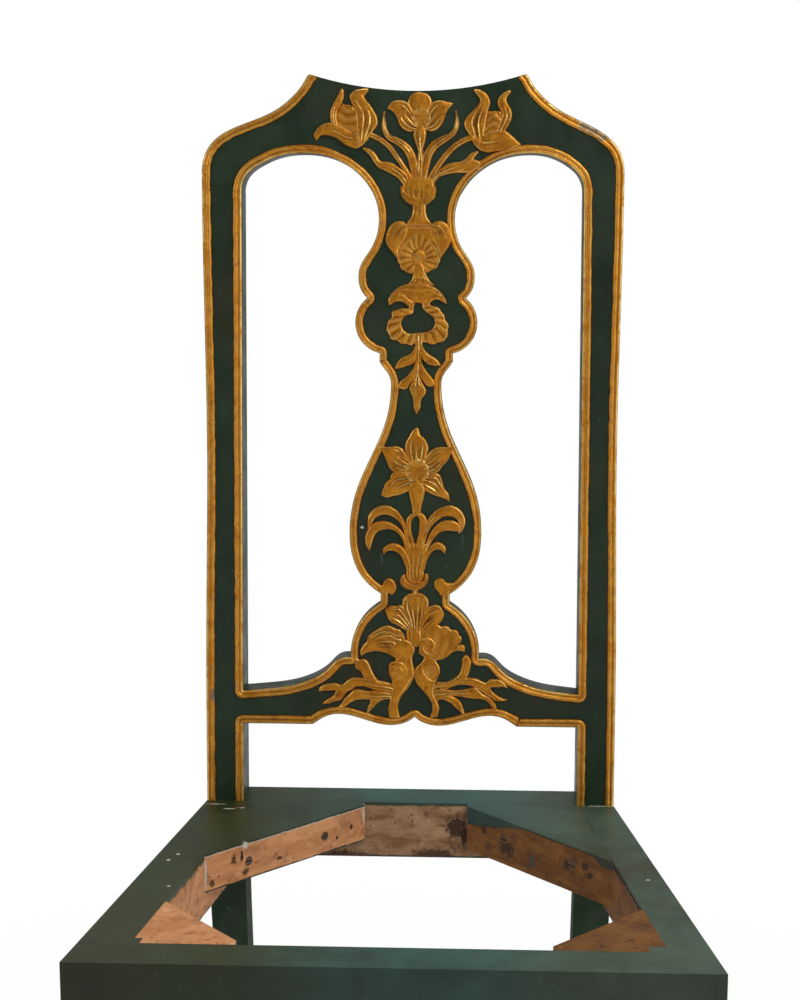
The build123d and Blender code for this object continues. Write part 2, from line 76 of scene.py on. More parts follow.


# %% [markdown]
# ## The camera
#
# A long lens stands at about the height of the crest, slightly to the right of the middle, and
# looks down a little. The camera's turn is given directly: a direction to look in, and a small roll.

# %% Camera
CAMERA_ASIDE = 0.0650
CAMERA_AWAY = 1.8
CAMERA_ABOVE_SEAT = 0.6319
CAMERA_DOWN = 0.18062
CAMERA_LEFT = 0.04149
CAMERA_ROLL = -0.00101
LENS = 68.97
FILM = 36.0
MID_BACK = 350


def put_in_scene(name, data):
    """Object that shows a mesh, a lamp or a camera."""
    made = bpy.data.objects.new(name, data)
    bpy.context.scene.collection.objects.link(made)
    return made


looking = Vector((
    -sin(CAMERA_LEFT) * cos(CAMERA_DOWN),
    cos(CAMERA_LEFT) * cos(CAMERA_DOWN),
    -sin(CAMERA_DOWN),
))
camera = put_in_scene("camera", bpy.data.cameras.new("camera"))
camera.data.sensor_fit = "VERTICAL"
camera.data.sensor_height = FILM
camera.data.lens = LENS
camera.location = Vector((CAMERA_ASIDE, back_foot - CAMERA_AWAY, seat_top + CAMERA_ABOVE_SEAT))
camera.rotation_mode = "QUATERNION"
turn = looking.to_track_quat("-Z", "Y").to_matrix().to_4x4()
camera.rotation_quaternion = (turn @ Matrix.Rotation(-CAMERA_ROLL, 4, "Z")).to_quaternion()
bpy.context.scene.camera = camera
bpy.context.scene.view_settings.view_transform = "Standard"
print("camera stands", round((camera.location - on_back(0, MID_BACK)).length, 2), "m from the back")

# %% [markdown]
# ## Nodes by function
#
# Every finish here is worked out by nodes, and nothing is a picture. Written out, a node takes
# four lines: make it, set it, and link or fill each socket. So a few small functions do that
# once, and the rest of the lesson reads like arithmetic with colours and masks.


# %% Node helpers
def feed(tree, socket, value):
    """Links a value into a socket, or writes it there where it is a number or a colour."""
    if isinstance(value, bpy.types.NodeSocket):
        tree.links.new(value, socket)
    elif socket.type == "RGBA":
        socket.default_value = (*value, 1.0)
    else:
        socket.default_value = value


def new_node(tree, kind, sockets=None, **settings):
    """Node of a kind, with its settings and with what its sockets take."""
    node = tree.nodes.new("ShaderNode" + kind)
    for name, value in settings.items():
        setattr(node, name, value)
    for key, value in (sockets or {}).items():
        feed(tree, node.inputs[key], value)
    return node


def math_node(tree, operation, a, b=0.0, clamp=False):
    return new_node(tree, "Math", {0: a, 1: b}, operation=operation, use_clamp=clamp).outputs[0]


def split_axes(tree, vector):
    node = new_node(tree, "SeparateXYZ", {0: vector})
    return node.outputs["X"], node.outputs["Y"], node.outputs["Z"]


def map_range(tree, value, low, high, to_low=0.0, to_high=1.0):
    """Eases a value from one range into another."""
    sockets = dict(enumerate((value, low, high, to_low, to_high)))
    return new_node(tree, "MapRange", sockets, interpolation_type="SMOOTHSTEP").outputs[0]


world = bpy.data.worlds.new("studio")
bpy.context.scene.world = world
world.use_nodes = True
print("the new world starts with", [node.name for node in world.node_tree.nodes])

# %% [markdown]
# ## Studio light
#
# Old paint shows its colour best in broad soft light. The backdrop is white for the camera.
# For reflections it is white behind the chair and dim behind the camera, as a room is, or the
# dark paint would look grey. A bright window on the right draws the thin lines of light that
# show how crisp the gilded edges are.

# %% World
BACKDROP = 1.0
ROOM_BEHIND_CHAIR = 0.42
ROOM_BEHIND_CAMERA = 0.11
ROOM_TURN = (-0.3, 0.5)
WINDOW = 1.5
WINDOW_TURN = (0.45, 0.9)
ROOM_FILL = 0.5

tree = world.node_tree
tree.nodes.clear()
rays = new_node(tree, "LightPath").outputs
to_right, to_back, _ = split_axes(tree, new_node(tree, "TexCoord").outputs["Generated"])
mirror = map_range(tree, to_back, *ROOM_TURN, ROOM_BEHIND_CAMERA, ROOM_BEHIND_CHAIR)
mirror = math_node(tree, "ADD", mirror, map_range(tree, to_right, *WINDOW_TURN, 0.0, WINDOW))
shine = math_node(tree, "MULTIPLY", rays["Is Glossy Ray"], mirror)
fill = math_node(tree, "MULTIPLY", math_node(tree, "SUBTRACT", 1.0, rays["Is Glossy Ray"]), ROOM_FILL)
seen = math_node(tree, "MAXIMUM", rays["Is Camera Ray"], rays["Is Transmission Ray"])
seen = math_node(tree, "MULTIPLY", seen, BACKDROP)
lit = math_node(tree, "MAXIMUM", math_node(tree, "ADD", shine, fill), seen)
background = new_node(tree, "Background", {"Color": (1, 1, 1), "Strength": lit})
new_node(tree, "OutputWorld", {0: background.outputs[0]})
print("studio nodes:", len(tree.nodes))

# %% Lamps
LAMP_TARGET = Vector((0, 0.1, 0.7))
LAMPS = {
    "key_light": {"place": (1.3, -1.5, 2.6), "size": 1.0, "watts": 26},
    "side_light": {"place": (-2.2, -0.6, 1.6), "size": 1.1, "watts": 11},
    "top_light": {"place": (0.1, 0.9, 2.9), "size": 1.6, "watts": 16},
}

for name, soft_box in LAMPS.items():
    lamp = put_in_scene(name, bpy.data.lights.new(name, "AREA"))
    lamp.data.shape = "SQUARE"
    lamp.data.size = soft_box["size"]
    lamp.data.energy = soft_box["watts"]
    lamp.location = soft_box["place"]
    lamp.rotation_mode = "QUATERNION"
    lamp.rotation_quaternion = (LAMP_TARGET - lamp.location).to_track_quat("-Z", "Y")
print("lamps:", list(LAMPS))

# %% [markdown]
# ## The floor
#
# A studio floor is a roll of white paper. It should catch a soft shadow and then vanish into the
# backdrop, so it is a plain diffuse sheet that glows for the camera, more and more towards its
# edges. Its glow is seen but lights nothing.

# %% Floor
FLOOR_SIZE = 14.0
FLOOR_WHITE = 0.9
FLOOR_LIFT = 0.90
FLOOR_FADE = (0.4, 1.3)


def vector_node(tree, operation, a, b=(0, 0, 0)):
    """Arithmetic with vectors; a length or a dot product comes out as a number."""
    node = new_node(tree, "VectorMath", {0: a, 1: b}, operation=operation)
    return node.outputs["Value" if operation in ("LENGTH", "DOT_PRODUCT") else "Vector"]


def object_place(tree):
    return new_node(tree, "TexCoord").outputs["Object"]


half = FLOOR_SIZE / 2
floor_mesh = bpy.data.meshes.new("floor")
floor_mesh.from_pydata(
    [(-half, -half, 0), (half, -half, 0), (half, half, 0), (-half, half, 0)], [], [(0, 1, 2, 3)]
)
floor = put_in_scene("floor", floor_mesh)

floor_paint = bpy.data.materials.new("floor_paint")
floor_paint.use_nodes = True
tree = floor_paint.node_tree
tree.nodes.clear()
lift = map_range(tree, vector_node(tree, "LENGTH", object_place(tree)), *FLOOR_FADE, FLOOR_LIFT, 1.0)
lift = math_node(tree, "MULTIPLY", new_node(tree, "LightPath").outputs["Is Camera Ray"], lift)
paper = new_node(tree, "BsdfDiffuse", {"Color": (FLOOR_WHITE, FLOOR_WHITE, FLOOR_WHITE)})
glow = new_node(tree, "Emission")
mixer = new_node(tree, "MixShader", {0: lift, 1: paper.outputs[0], 2: glow.outputs[0]})
new_node(tree, "OutputMaterial", {0: mixer.outputs[0]})
floor_mesh.materials.append(floor_paint)
print("floor:", FLOOR_SIZE, "m across")

# %% [markdown]
# ## Effects that several finishes share
#
# Five small node groups do the work of age, and each is built once. The first three are
# patterns: *Mottle* varies a colour in soft clouds, *Specks* scatters small dots, for dust,
# pinholes and flyspots, and *Grain* draws long wood fibres. Each puts out a mask between 0 and
# 1, so one group serves dark paint and bare wood alike.

# %% Mottle, specks and grain
PATCH_SCALE = 60.0
FIBRE_RANGE = (0.32, 0.68)


def noise(tree, place, scale, detail=3.0, roughness=0.55, distortion=0.0):
    sockets = {
        "Vector": place, "Scale": scale, "Detail": detail, "Roughness": roughness, "Distortion": distortion,
    }
    return new_node(tree, "TexNoise", sockets).outputs[0]


def product(tree, *masks):
    """All masks multiplied, so that it is 1 only where each of them is."""
    result = masks[0]
    for mask in masks[1:]:
        result = math_node(tree, "MULTIPLY", result, mask)
    return result


def new_group(name, inputs):
    """Node group with number inputs and one mask as its output."""
    group = bpy.data.node_groups.new(name, "ShaderNodeTree")
    for label, value in inputs.items():
        socket = group.interface.new_socket(label, in_out="INPUT", socket_type="NodeSocketFloat")
        socket.default_value = value
    group.interface.new_socket("Mask", in_out="OUTPUT", socket_type="NodeSocketFloat")
    return group, group.nodes.new("NodeGroupInput").outputs, object_place(group)


def end_group(group, mask):
    group.links.new(mask, group.nodes.new("NodeGroupOutput").inputs[0])


mottle, given, place = new_group("Mottle", {"Scale": 20.0, "Low": 0.35, "High": 0.65})
clouds = noise(mottle, place, given["Scale"], detail=4.0, roughness=0.6, distortion=0.4)
end_group(mottle, map_range(mottle, clouds, given["Low"], given["High"]))

specks, given, place = new_group("Specks", {"Scale": 300.0, "Size": 0.16, "Share": 0.5})
cells = new_node(specks, "TexVoronoi", {"Vector": place, "Scale": given["Scale"]})
dots = math_node(specks, "LESS_THAN", cells.outputs["Distance"], given["Size"])
where = math_node(specks, "LESS_THAN", noise(specks, place, PATCH_SCALE), given["Share"])
end_group(specks, product(specks, dots, where))

grain, given, place = new_group("Grain", {"Scale": 60.0, "Along X": 1.0, "Along Y": 1.0, "Along Z": 1.0})
stretch = new_node(grain, "CombineXYZ", {axis: given["Along " + axis] for axis in "XYZ"}).outputs[0]
drawn_out = vector_node(grain, "MULTIPLY", place, stretch)
streaks = noise(grain, drawn_out, given["Scale"], detail=6.0, roughness=0.65, distortion=0.6)
end_group(grain, map_range(grain, streaks, *FIBRE_RANGE))
print("effects:", [group.name for group in bpy.data.node_groups])

# %% [markdown]
# ## Where the paint stops
#
# The seat frame was painted only where it shows. A loose seat hid its inner faces, so they stayed
# raw, and the brush left a ragged line just below the top. Painting that line on a picture would
# tie it to one view. *Bare* finds it from the way a face looks and from the height instead: a
# face is raw where it looks at the middle of the seat and lies between two heights.

# %% Bare wood inside the seat frame
SEAT_MIDDLE = (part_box("front_seat_rail")[1].y + back_foot) / 2
PAINT_EDGE = 0.0006
WANDER_SCALE = 90.0
UPRIGHT_FACE = (0.6, 0.4)
LYING_FACE = (0.5, 0.7)


def surface_normal(tree):
    return split_axes(tree, new_node(tree, "NewGeometry").outputs["Normal"])


bare, given, place = new_group("Bare", {"Paint Down": 0.0, "Low": 0.374, "Ragged": 0.003, "Tops": 0.0})
facing = surface_normal(bare)
x, y, z = split_axes(bare, place)
aside = math_node(bare, "MULTIPLY", facing[0], x)
from_middle = math_node(bare, "SUBTRACT", y, SEAT_MIDDLE)
aside = math_node(bare, "ADD", aside, math_node(bare, "MULTIPLY", facing[1], from_middle))
inward = math_node(bare, "LESS_THAN", aside, 0.0)
upright = map_range(bare, math_node(bare, "ABSOLUTE", facing[2]), *UPRIGHT_FACE)
wander = math_node(bare, "MULTIPLY", noise(bare, place, WANDER_SCALE), given["Ragged"])
depth = math_node(bare, "SUBTRACT", math_node(bare, "SUBTRACT", seat_top, z), wander)
depth = math_node(bare, "SUBTRACT", depth, given["Paint Down"])
height = math_node(bare, "SUBTRACT", math_node(bare, "SUBTRACT", z, given["Low"]), wander)
below_paint, above_low = (map_range(bare, way, -PAINT_EDGE, PAINT_EDGE) for way in (depth, height))
unpainted = product(bare, inward, upright, below_paint, above_low)
raw_top = product(bare, map_range(bare, facing[2], *LYING_FACE), given["Tops"])
end_group(bare, math_node(bare, "MAXIMUM", unpainted, raw_top))
print("middle of the seat at y =", round(SEAT_MIDDLE, 3), "m")

# %% [markdown]
# ## Open joints
#
# Wood shrinks, and then the paint over a joint cracks. The joints on top of the seat frame run
# along the inner faces of the side rails and along the front of the back. *Seam* measures how
# far a point lies from these planes, and a slow noise makes the crack waver and break off.

# %% Seams on top of the seat frame
SIDE_RAILS = ("left_side_rail", "right_side_rail")
JOINT_FRONT = -0.05
WAVER = 0.0022
WAVER_SCALE = 55.0
OPEN_SCALE = 26.0
OPEN_WIDTH = 1.4
BREAK_SCALE = 34.0
BREAK_SHARE = 0.44
TOP_FACE = 0.5


def inner_face(rail):
    """Largest face of a side rail that looks at the middle of the seat."""
    inward = 1 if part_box(rail)[0].x < 0 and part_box(rail)[1].x < 0 else -1
    faces = [face for face in nodes[rail].data.polygons if face.normal.x * inward > 0.9]
    return max(faces, key=lambda face: face.area)


seam, given, place = new_group("Seam", {"Width": 0.0005})
facing = surface_normal(seam)
rail_faces = [inner_face(rail) for rail in SIDE_RAILS]
joints = [((0, 1, 0), back_foot)] + [(face.normal, face.normal.dot(face.center)) for face in rail_faces]
waver = math_node(seam, "SUBTRACT", noise(seam, place, WAVER_SCALE), 0.5)
waver = math_node(seam, "MULTIPLY", waver, WAVER)
nearest_joint = 1.0
for way, offset in joints:
    away = math_node(seam, "SUBTRACT", vector_node(seam, "DOT_PRODUCT", place, way), offset)
    gap = math_node(seam, "ABSOLUTE", math_node(seam, "ADD", away, waver))
    nearest_joint = math_node(seam, "MINIMUM", gap, nearest_joint)
width = product(seam, noise(seam, place, OPEN_SCALE, detail=4.0), given["Width"], OPEN_WIDTH)
y = split_axes(seam, place)[1]
crack = product(
    seam,
    math_node(seam, "LESS_THAN", nearest_joint, width),
    math_node(seam, "GREATER_THAN", noise(seam, place, BREAK_SCALE), BREAK_SHARE),
    math_node(seam, "GREATER_THAN", facing[2], TOP_FACE),
    math_node(seam, "GREATER_THAN", y, JOINT_FRONT),
    math_node(seam, "LESS_THAN", y, back_foot + PAINT_EDGE),
)
end_group(seam, crack)
print("joints that can open:", len(joints))

# %% [markdown]
# ## The finishes
#
# Each finish is one Principled surface. Masks choose between a few flat colours, and the same
# masks drive the roughness and the bumps, so that a worn place also looks rubbed. A mark that
# must sit in one place, such as a chip or a knot, is given one by one: a centre and a reach.

# %% Finish helpers
SPOT_RAGGED = 1.1
SPOT_SCALE = 330.0


def mix_colours(tree, share, a, b, blend="MIX"):
    return new_node(tree, "Mix", {0: share, 6: a, 7: b}, data_type="RGBA", blend_type=blend).outputs[2]


def wash(tree, colour, mask, share, other, blend="MIX"):
    """Lays a share of another colour over a colour, where a mask says so."""
    return mix_colours(tree, math_node(tree, "MULTIPLY", mask, share), colour, other, blend)


def effect(tree, group, **values):
    """Place a group in a material with its own values, as numbers or as links."""
    sockets = {name.replace("_", " "): value for name, value in values.items()}
    return new_node(tree, "Group", sockets, node_tree=group).outputs["Mask"]


def new_finish(name, **constants):
    """Material with one Principled surface, and its node tree."""
    finish = bpy.data.materials.new(name)
    finish.use_nodes = True
    surface = finish.node_tree.nodes["Principled BSDF"]
    for label, value in constants.items():
        surface.inputs[label.replace("_", " ")].default_value = value
    return finish, finish.node_tree, surface


def set_bump(tree, surface, height, distance, strength):
    bump = new_node(tree, "Bump", {"Strength": strength, "Distance": distance, "Height": height})
    tree.links.new(bump.outputs[0], surface.inputs["Normal"])


def spot(tree, centre, reach):
    """Mask of one ragged mark; its centre and its reach along x, y and z are in millimetres."""
    place = object_place(tree)
    away = vector_node(tree, "SUBTRACT", place, Vector(centre) * MM)
    share = vector_node(tree, "MULTIPLY", away, [1 / (size * MM) for size in reach])
    rough = noise(tree, place, SPOT_SCALE, detail=4.0, roughness=0.7)
    rough = math_node(tree, "MULTIPLY", rough, 2 * SPOT_RAGGED)
    far = math_node(tree, "ADD", vector_node(tree, "LENGTH", share), rough)
    return map_range(tree, far, 1 + SPOT_RAGGED, 0.5 + SPOT_RAGGED)


def add_marks(tree, colour, marks):
    """Lays listed marks over a colour, each a centre, a reach and its own colour."""
    for centre, reach, mark_colour in marks:
        colour = mix_colours(tree, spot(tree, centre, reach), colour, mark_colour)
    return colour


print("effects ready for the finishes:", [group.name for group in bpy.data.node_groups])

# %% [markdown]
# ## Green paint
#
# Oil paint with old varnish: a very dark green in soft clouds, browned here and there, with a
# little dust in it. The seat frame was painted again later. That coat has browned on the left
# and is bluer towards the middle, so its colour changes with x; its upright faces are painted
# darker, as shade. Brush marks are a noise that is drawn out along the height.

# %% Green paint
PAINT_DARK = (0.009, 0.021, 0.009)
PAINT_LIGHT = (0.017, 0.036, 0.016)
PAINT_BROWN = (0.030, 0.026, 0.009)
PAINT_DUST = (0.16, 0.18, 0.16)
GESSO = (0.52, 0.50, 0.42)
SCRATCH = (0.050, 0.064, 0.050)
BRUSH_STRETCH = (1, 1, 0.12)
BRUSH_SCALE = 160.0
RUBBED_ROUGH = (0.34, 0.52)
DULL_BELOW = (seat_top - 0.06, seat_top - 0.02)
DULL_BY = 0.4
BACK_MARKS = [
    ((-47, 175, 703), (2.4, 4, 1.8), GESSO), ((-28, 173, 673), (1.2, 4, 8), SCRATCH),
    ((50, 175, 692), (1.2, 4, 9), SCRATCH),
]


def paint_colour(tree, dark, light, brown, dust_share):
    """Old oil paint: clouded green, browned varnish, and a little dust."""
    colour = mix_colours(tree, effect(tree, mottle, Scale=14.0, Low=0.3, High=0.7), dark, light)
    colour = mix_colours(tree, effect(tree, mottle, Scale=6.0, Low=0.5, High=0.75), colour, brown)
    dust = effect(tree, specks, Scale=260.0, Size=0.13, Share=dust_share)
    return mix_colours(tree, dust, colour, PAINT_DUST)


def brush_marks(tree):
    return noise(tree, vector_node(tree, "MULTIPLY", object_place(tree), BRUSH_STRETCH), BRUSH_SCALE)


back_paint, tree, surface = new_finish("green_paint", Roughness=0.42, Specular_IOR_Level=0.35)
colour = paint_colour(tree, PAINT_DARK, PAINT_LIGHT, PAINT_BROWN, dust_share=0.36)
tree.links.new(add_marks(tree, colour, BACK_MARKS), surface.inputs["Base Color"])
rubbed = map_range(tree, effect(tree, mottle, Scale=30.0, Low=0.3, High=0.7), 0, 1, *RUBBED_ROUGH)
dull = map_range(tree, split_axes(tree, object_place(tree))[2], *DULL_BELOW, DULL_BY, 0.0)
tree.links.new(math_node(tree, "ADD", rubbed, dull), surface.inputs["Roughness"])
set_bump(tree, surface, brush_marks(tree), distance=0.0006, strength=0.35)
print("green paint uses", len(tree.nodes), "nodes")

# %% Paint of the seat frame
RAIL_OLIVE = (0.021, 0.030, 0.009)
RAIL_TEAL = (0.024, 0.068, 0.058)
RAIL_GREY = (0.040, 0.064, 0.042)
RAIL_BROWN = (0.040, 0.038, 0.014)
DARK_CRACK_AND_SHADE = (0.008, 0.010, 0.007)
JOINT_DUST = (0.034, 0.034, 0.018)
OLIVE_TO_TEAL = (-0.15, 0.0)
TEAL_TO_GREY = (0.04, 0.17)
DUSTY_JOINT = (-0.155, -0.13)
RAIL_LIGHT = 0.6
SMEAR_SHARE = 0.45
OLIVE_SHARE = 0.25
SIDE_SHADE_TILT = (0.3, 0.7)
PAINTED_SIDE_SHADE = 0.5


def rail_colour(tree):
    """The seat was painted later. It has browned on the left, and is bluer towards the middle. Its upright
    faces get painted shade.
    """
    across = split_axes(tree, object_place(tree))[0]
    colour = mix_colours(tree, map_range(tree, across, *OLIVE_TO_TEAL), RAIL_OLIVE, RAIL_TEAL)
    colour = mix_colours(tree, map_range(tree, across, *TEAL_TO_GREY), colour, RAIL_GREY)
    light = mix_colours(tree, RAIL_LIGHT, colour, colour, "ADD")
    smears = effect(tree, mottle, Scale=34.0, Low=0.5, High=0.72)
    colour = wash(tree, colour, smears, SMEAR_SHARE, RAIL_BROWN)
    colour = mix_colours(tree, OLIVE_SHARE, colour, RAIL_OLIVE)
    colour = paint_colour(tree, colour, light, RAIL_BROWN, dust_share=0.40)
    # Painted shade: upright faces are darkened towards the crack colour, as they catch less light than the
    # tops.
    steep = map_range(tree, surface_normal(tree)[2], *SIDE_SHADE_TILT, PAINTED_SIDE_SHADE, 0.0)
    colour = mix_colours(tree, steep, colour, DARK_CRACK_AND_SHADE)
    joint = mix_colours(tree, map_range(tree, across, *DUSTY_JOINT), JOINT_DUST, DARK_CRACK_AND_SHADE)
    return mix_colours(tree, effect(tree, seam), colour, joint)


print("the later paint turns from olive to teal at x =", OLIVE_TO_TEAL, "m")

# %% [markdown]
# ## Bare wood
#
# Three woods show inside the frame: a fresh pale one on the left, a brown one on the right and a
# grey one behind. Each is a set of three colours: pale and tan for the grain, dark for stains
# and grime. A seat finish lays them only where *Bare* allows it, with paint over the rest and a
# thin line of gesso, old paint or dirt where the two meet.

# %% Bare wood
PALE_WOOD = ((0.66, 0.32, 0.145), (0.48, 0.20, 0.078), (0.22, 0.085, 0.035))
BROWN_WOOD = ((0.21, 0.086, 0.019), (0.12, 0.046, 0.011), (0.050, 0.019, 0.007))
GREY_WOOD = ((0.37, 0.225, 0.12), (0.18, 0.085, 0.036), (0.075, 0.034, 0.018))
HOLE = (0.02, 0.012, 0.008)
KNOT = (0.10, 0.040, 0.015)
STAIN = (0.050, 0.024, 0.013)
STAIN_SHARE = 0.75
GRIME_SHARE = 0.7
RUBBED_SHARE = 0.55
PAINT_ROUGH = 0.46
WOOD_ROUGH = 0.78
STRIP_ALONG = (0.055, 0.118)
STRIP_DEEP = 0.0155
CORNER_ALONG = (0.170, 0.182)
CORNER_DEEP = 0.007


def wood_colour(tree, wood, fibre, holes):
    """Grain between two colours, then stains, grime, rubbed places and wormholes."""
    pale, tan, dark = wood
    colour = mix_colours(tree, fibre, tan, pale)
    stain = effect(tree, mottle, Scale=24.0, Low=0.5, High=0.8)
    colour = wash(tree, colour, stain, STAIN_SHARE, dark)
    grime = effect(tree, mottle, Scale=110.0, Low=0.54, High=0.70)
    colour = wash(tree, colour, grime, GRIME_SHARE, dark)
    rubbed = effect(tree, mottle, Scale=75.0, Low=0.60, High=0.76)
    colour = wash(tree, colour, rubbed, RUBBED_SHARE, pale, "SCREEN")
    return mix_colours(tree, holes, colour, HOLE)


def seat_finish(name, wood, along, line, line_width, marks=(), painted_down=0.0, **edges):
    """Seat paint on the faces that show, and wood that was never painted towards the middle."""
    finish, tree, surface = new_finish(name, Specular_IOR_Level=0.26)
    fibre = effect(tree, grain, Scale=55.0, Along_X=along[0], Along_Y=along[1], Along_Z=along[2])
    holes = effect(tree, specks, Scale=150.0, Size=0.14, Share=0.45)
    down = painted_down(tree) if callable(painted_down) else painted_down
    raw = effect(tree, bare, Paint_Down=down, **edges)
    below_line = effect(tree, bare, Paint_Down=math_node(tree, "ADD", down, line_width), **edges)
    colour = mix_colours(tree, raw, rail_colour(tree), wood_colour(tree, wood, fibre, holes))
    colour = mix_colours(tree, math_node(tree, "SUBTRACT", raw, below_line, clamp=True), colour, line)
    tree.links.new(add_marks(tree, colour, marks), surface.inputs["Base Color"])
    tree.links.new(map_range(tree, raw, 0, 1, PAINT_ROUGH, WOOD_ROUGH), surface.inputs["Roughness"])
    relief = math_node(tree, "MULTIPLY", math_node(tree, "SUBTRACT", fibre, holes), raw)
    relief = math_node(tree, "ADD", relief, brush_marks(tree))
    set_bump(tree, surface, relief, distance=0.0007, strength=0.4)
    return finish


def strip_of_paint(tree):
    """Paint that ran down over the top of the right block, near the rear rail and in the corner."""
    across = split_axes(tree, object_place(tree))[0]
    near_rail = map_range(tree, across, *STRIP_ALONG, STRIP_DEEP, 0.0)
    in_corner = map_range(tree, across, *CORNER_ALONG, 0.0, CORNER_DEEP)
    return math_node(tree, "ADD", near_rail, in_corner)


print("woods: pale, brown and grey, each in", len(PALE_WOOD), "colours")

# %% Marks on the bare wood
LEFT_BLOCK_MARKS = [
    ((-148, 42, 427), (4.5, 4.5, 4), GESSO), ((-181, 8, 412), (2, 2, 19), GESSO),
    ((-44, 151, 421), (2.4, 6, 12), GESSO), ((-158, 32, 417), (4, 4, 6), KNOT),
    ((-151, 39, 418), (2.6, 2.6, 7), HOLE), ((-148, 42, 402), (5, 5, 4), KNOT),
    ((-56, 138, 412), (2.6, 2.6, 3), STAIN), ((-176, 14, 401), (4, 4, 4), KNOT),
    ((-69, 124, 406), (2, 2, 2.4), HOLE), ((-120, 72, 404), (5, 5, 2), KNOT),
]
RIGHT_BLOCK_MARKS = [
    ((73, 133, 413), (5, 5, 5), STAIN), ((83, 123, 419), (3, 3, 3), STAIN),
    ((95, 109, 403), (12, 12, 10), STAIN), ((78, 128, 398), (8, 8, 6), KNOT),
    ((157, 43, 419), (5.4, 5.4, 5), KNOT), ((166, 33, 415), (6, 6, 6), STAIN),
    ((170, 29, 409), (5, 5, 5), STAIN), ((163, 36, 401), (4, 4, 4), KNOT),
    ((119, 84, 400), (2.6, 2.6, 8), RAIL_TEAL), ((150, 50, 410), (6, 6, 6), STAIN),
    ((91, 113, 412), (5, 5, 5), STAIN),
]
REAR_RAIL_MARKS = [
    ((-62, 159, 374), (26, 4, 8), GREY_WOOD[2]), ((46, 159, 406), (14, 4, 16), STAIN),
    ((54, 159, 396), (4, 4, 14), STAIN), ((24, 159, 377), (26, 4, 7), GREY_WOOD[2]),
]
LEFT_RAIL_MARKS = [
    ((-190, 147, 430), (12, 1.0, 3), GESSO), ((-175, 134, 430), (8, 1.5, 3), GESSO),
    ((-162, 137, 430), (6, 1.3, 3), GESSO), ((-212, -5, 430), (2.4, 2.4, 3), GESSO),
    ((-206, 10, 430), (2, 2, 3), GESSO), ((-202, -67, 430), (2, 2, 3), GESSO),
]
RIGHT_RAIL_MARKS = [
    ((187, 157, 430), (17, 1.4, 3), GESSO), ((217, -34, 430), (2.2, 2.2, 3), GESSO),
]
print("marks on the blocks:", len(LEFT_BLOCK_MARKS) + len(RIGHT_BLOCK_MARKS))

# %% Finishes of the seat frame
OLD_YELLOW = (0.20, 0.16, 0.05)
BLOCK_GRAIN = (0.35, 0.35, 1.6)
REAR_GRAIN = (0.5, 1.0, 1.2)
SIDE_GRAIN = (1.0, 0.5, 1.1)

left_block = seat_finish("left_block", PALE_WOOD, BLOCK_GRAIN, GESSO, 0.0008, LEFT_BLOCK_MARKS,
                         painted_down=0.0005, Low=0.3940, Ragged=0.0024)
right_block = seat_finish("right_block", BROWN_WOOD, BLOCK_GRAIN, DARK_CRACK_AND_SHADE, 0.0006, RIGHT_BLOCK_MARKS,
                          painted_down=strip_of_paint, Low=0.3800, Ragged=0.0028)
rear_rail = seat_finish("rear_rail", GREY_WOOD, REAR_GRAIN, RAIL_OLIVE, 0.0008, REAR_RAIL_MARKS,
                        painted_down=0.0008, Low=0.3742, Ragged=0.0030)
left_rail = seat_finish("left_rail", PALE_WOOD, SIDE_GRAIN, OLD_YELLOW, 0.0014, LEFT_RAIL_MARKS,
                        painted_down=0.0005, Low=0.3700, Ragged=0.0090)
right_rail = seat_finish("right_rail", BROWN_WOOD, SIDE_GRAIN, DARK_CRACK_AND_SHADE, 0.0030, RIGHT_RAIL_MARKS,
                         painted_down=0.0002, Low=0.3700, Ragged=0.0040)
left_front_block, right_front_block = (
    seat_finish(name, wood, BLOCK_GRAIN, GESSO, 0.0, Low=0.3800, Tops=1.0)
    for name, wood in (("left_front_block", PALE_WOOD), ("right_front_block", BROWN_WOOD))
)
print("finishes:", [finish.name for finish in bpy.data.materials])

# %% [markdown]
# ## Gilding
#
# Gold leaf lies on red clay, the bole, which shows where the gold is rubbed. Hollows are painted
# darker, part dirt and part painted shade, and edges are painted bright, part burnish and part painted
# highlight. Where an edge is can't be known from a flat colour, so the carving itself carries two marks on
# its points, and the finish reads them.

# %% Gilding
GOLD = (0.76, 0.32, 0.026)
GOLD_DEEP = (0.56, 0.20, 0.014)
GOLD_HIGHLIGHT_AND_BURNISH = (1.0, 0.76, 0.26)
GOLD_SHADE_AND_DIRT = (0.10, 0.028, 0.004)
BOLE = (0.36, 0.09, 0.018)
WORN_GOLD = (0.30, 0.21, 0.12)
BOLE_SHARE = 0.65
SHADE_AND_DIRT_SHARE = 0.9
DIRT_SHARE = 0.8
HIGHLIGHT_AND_BURNISH_RANGE = (0.1, 1.1)
DULL_GOLD = 0.44
BRIGHT_GOLD = 0.24
LEAF_SCALE = 260.0
MARKS = ("highlight_and_burnish", "shade_and_dirt")
GILT_MARKS = [
    (on_back(157, 655, 2) / MM, (8, 6, 5), WORN_GOLD), (on_back(166, 651, 2) / MM, (9, 6, 5), WORN_GOLD),
    (on_back(174, 645, 2) / MM, (6, 6, 5), WORN_GOLD), (on_back(-197, 106, 1) / MM, (5, 6, 9), WORN_GOLD),
]


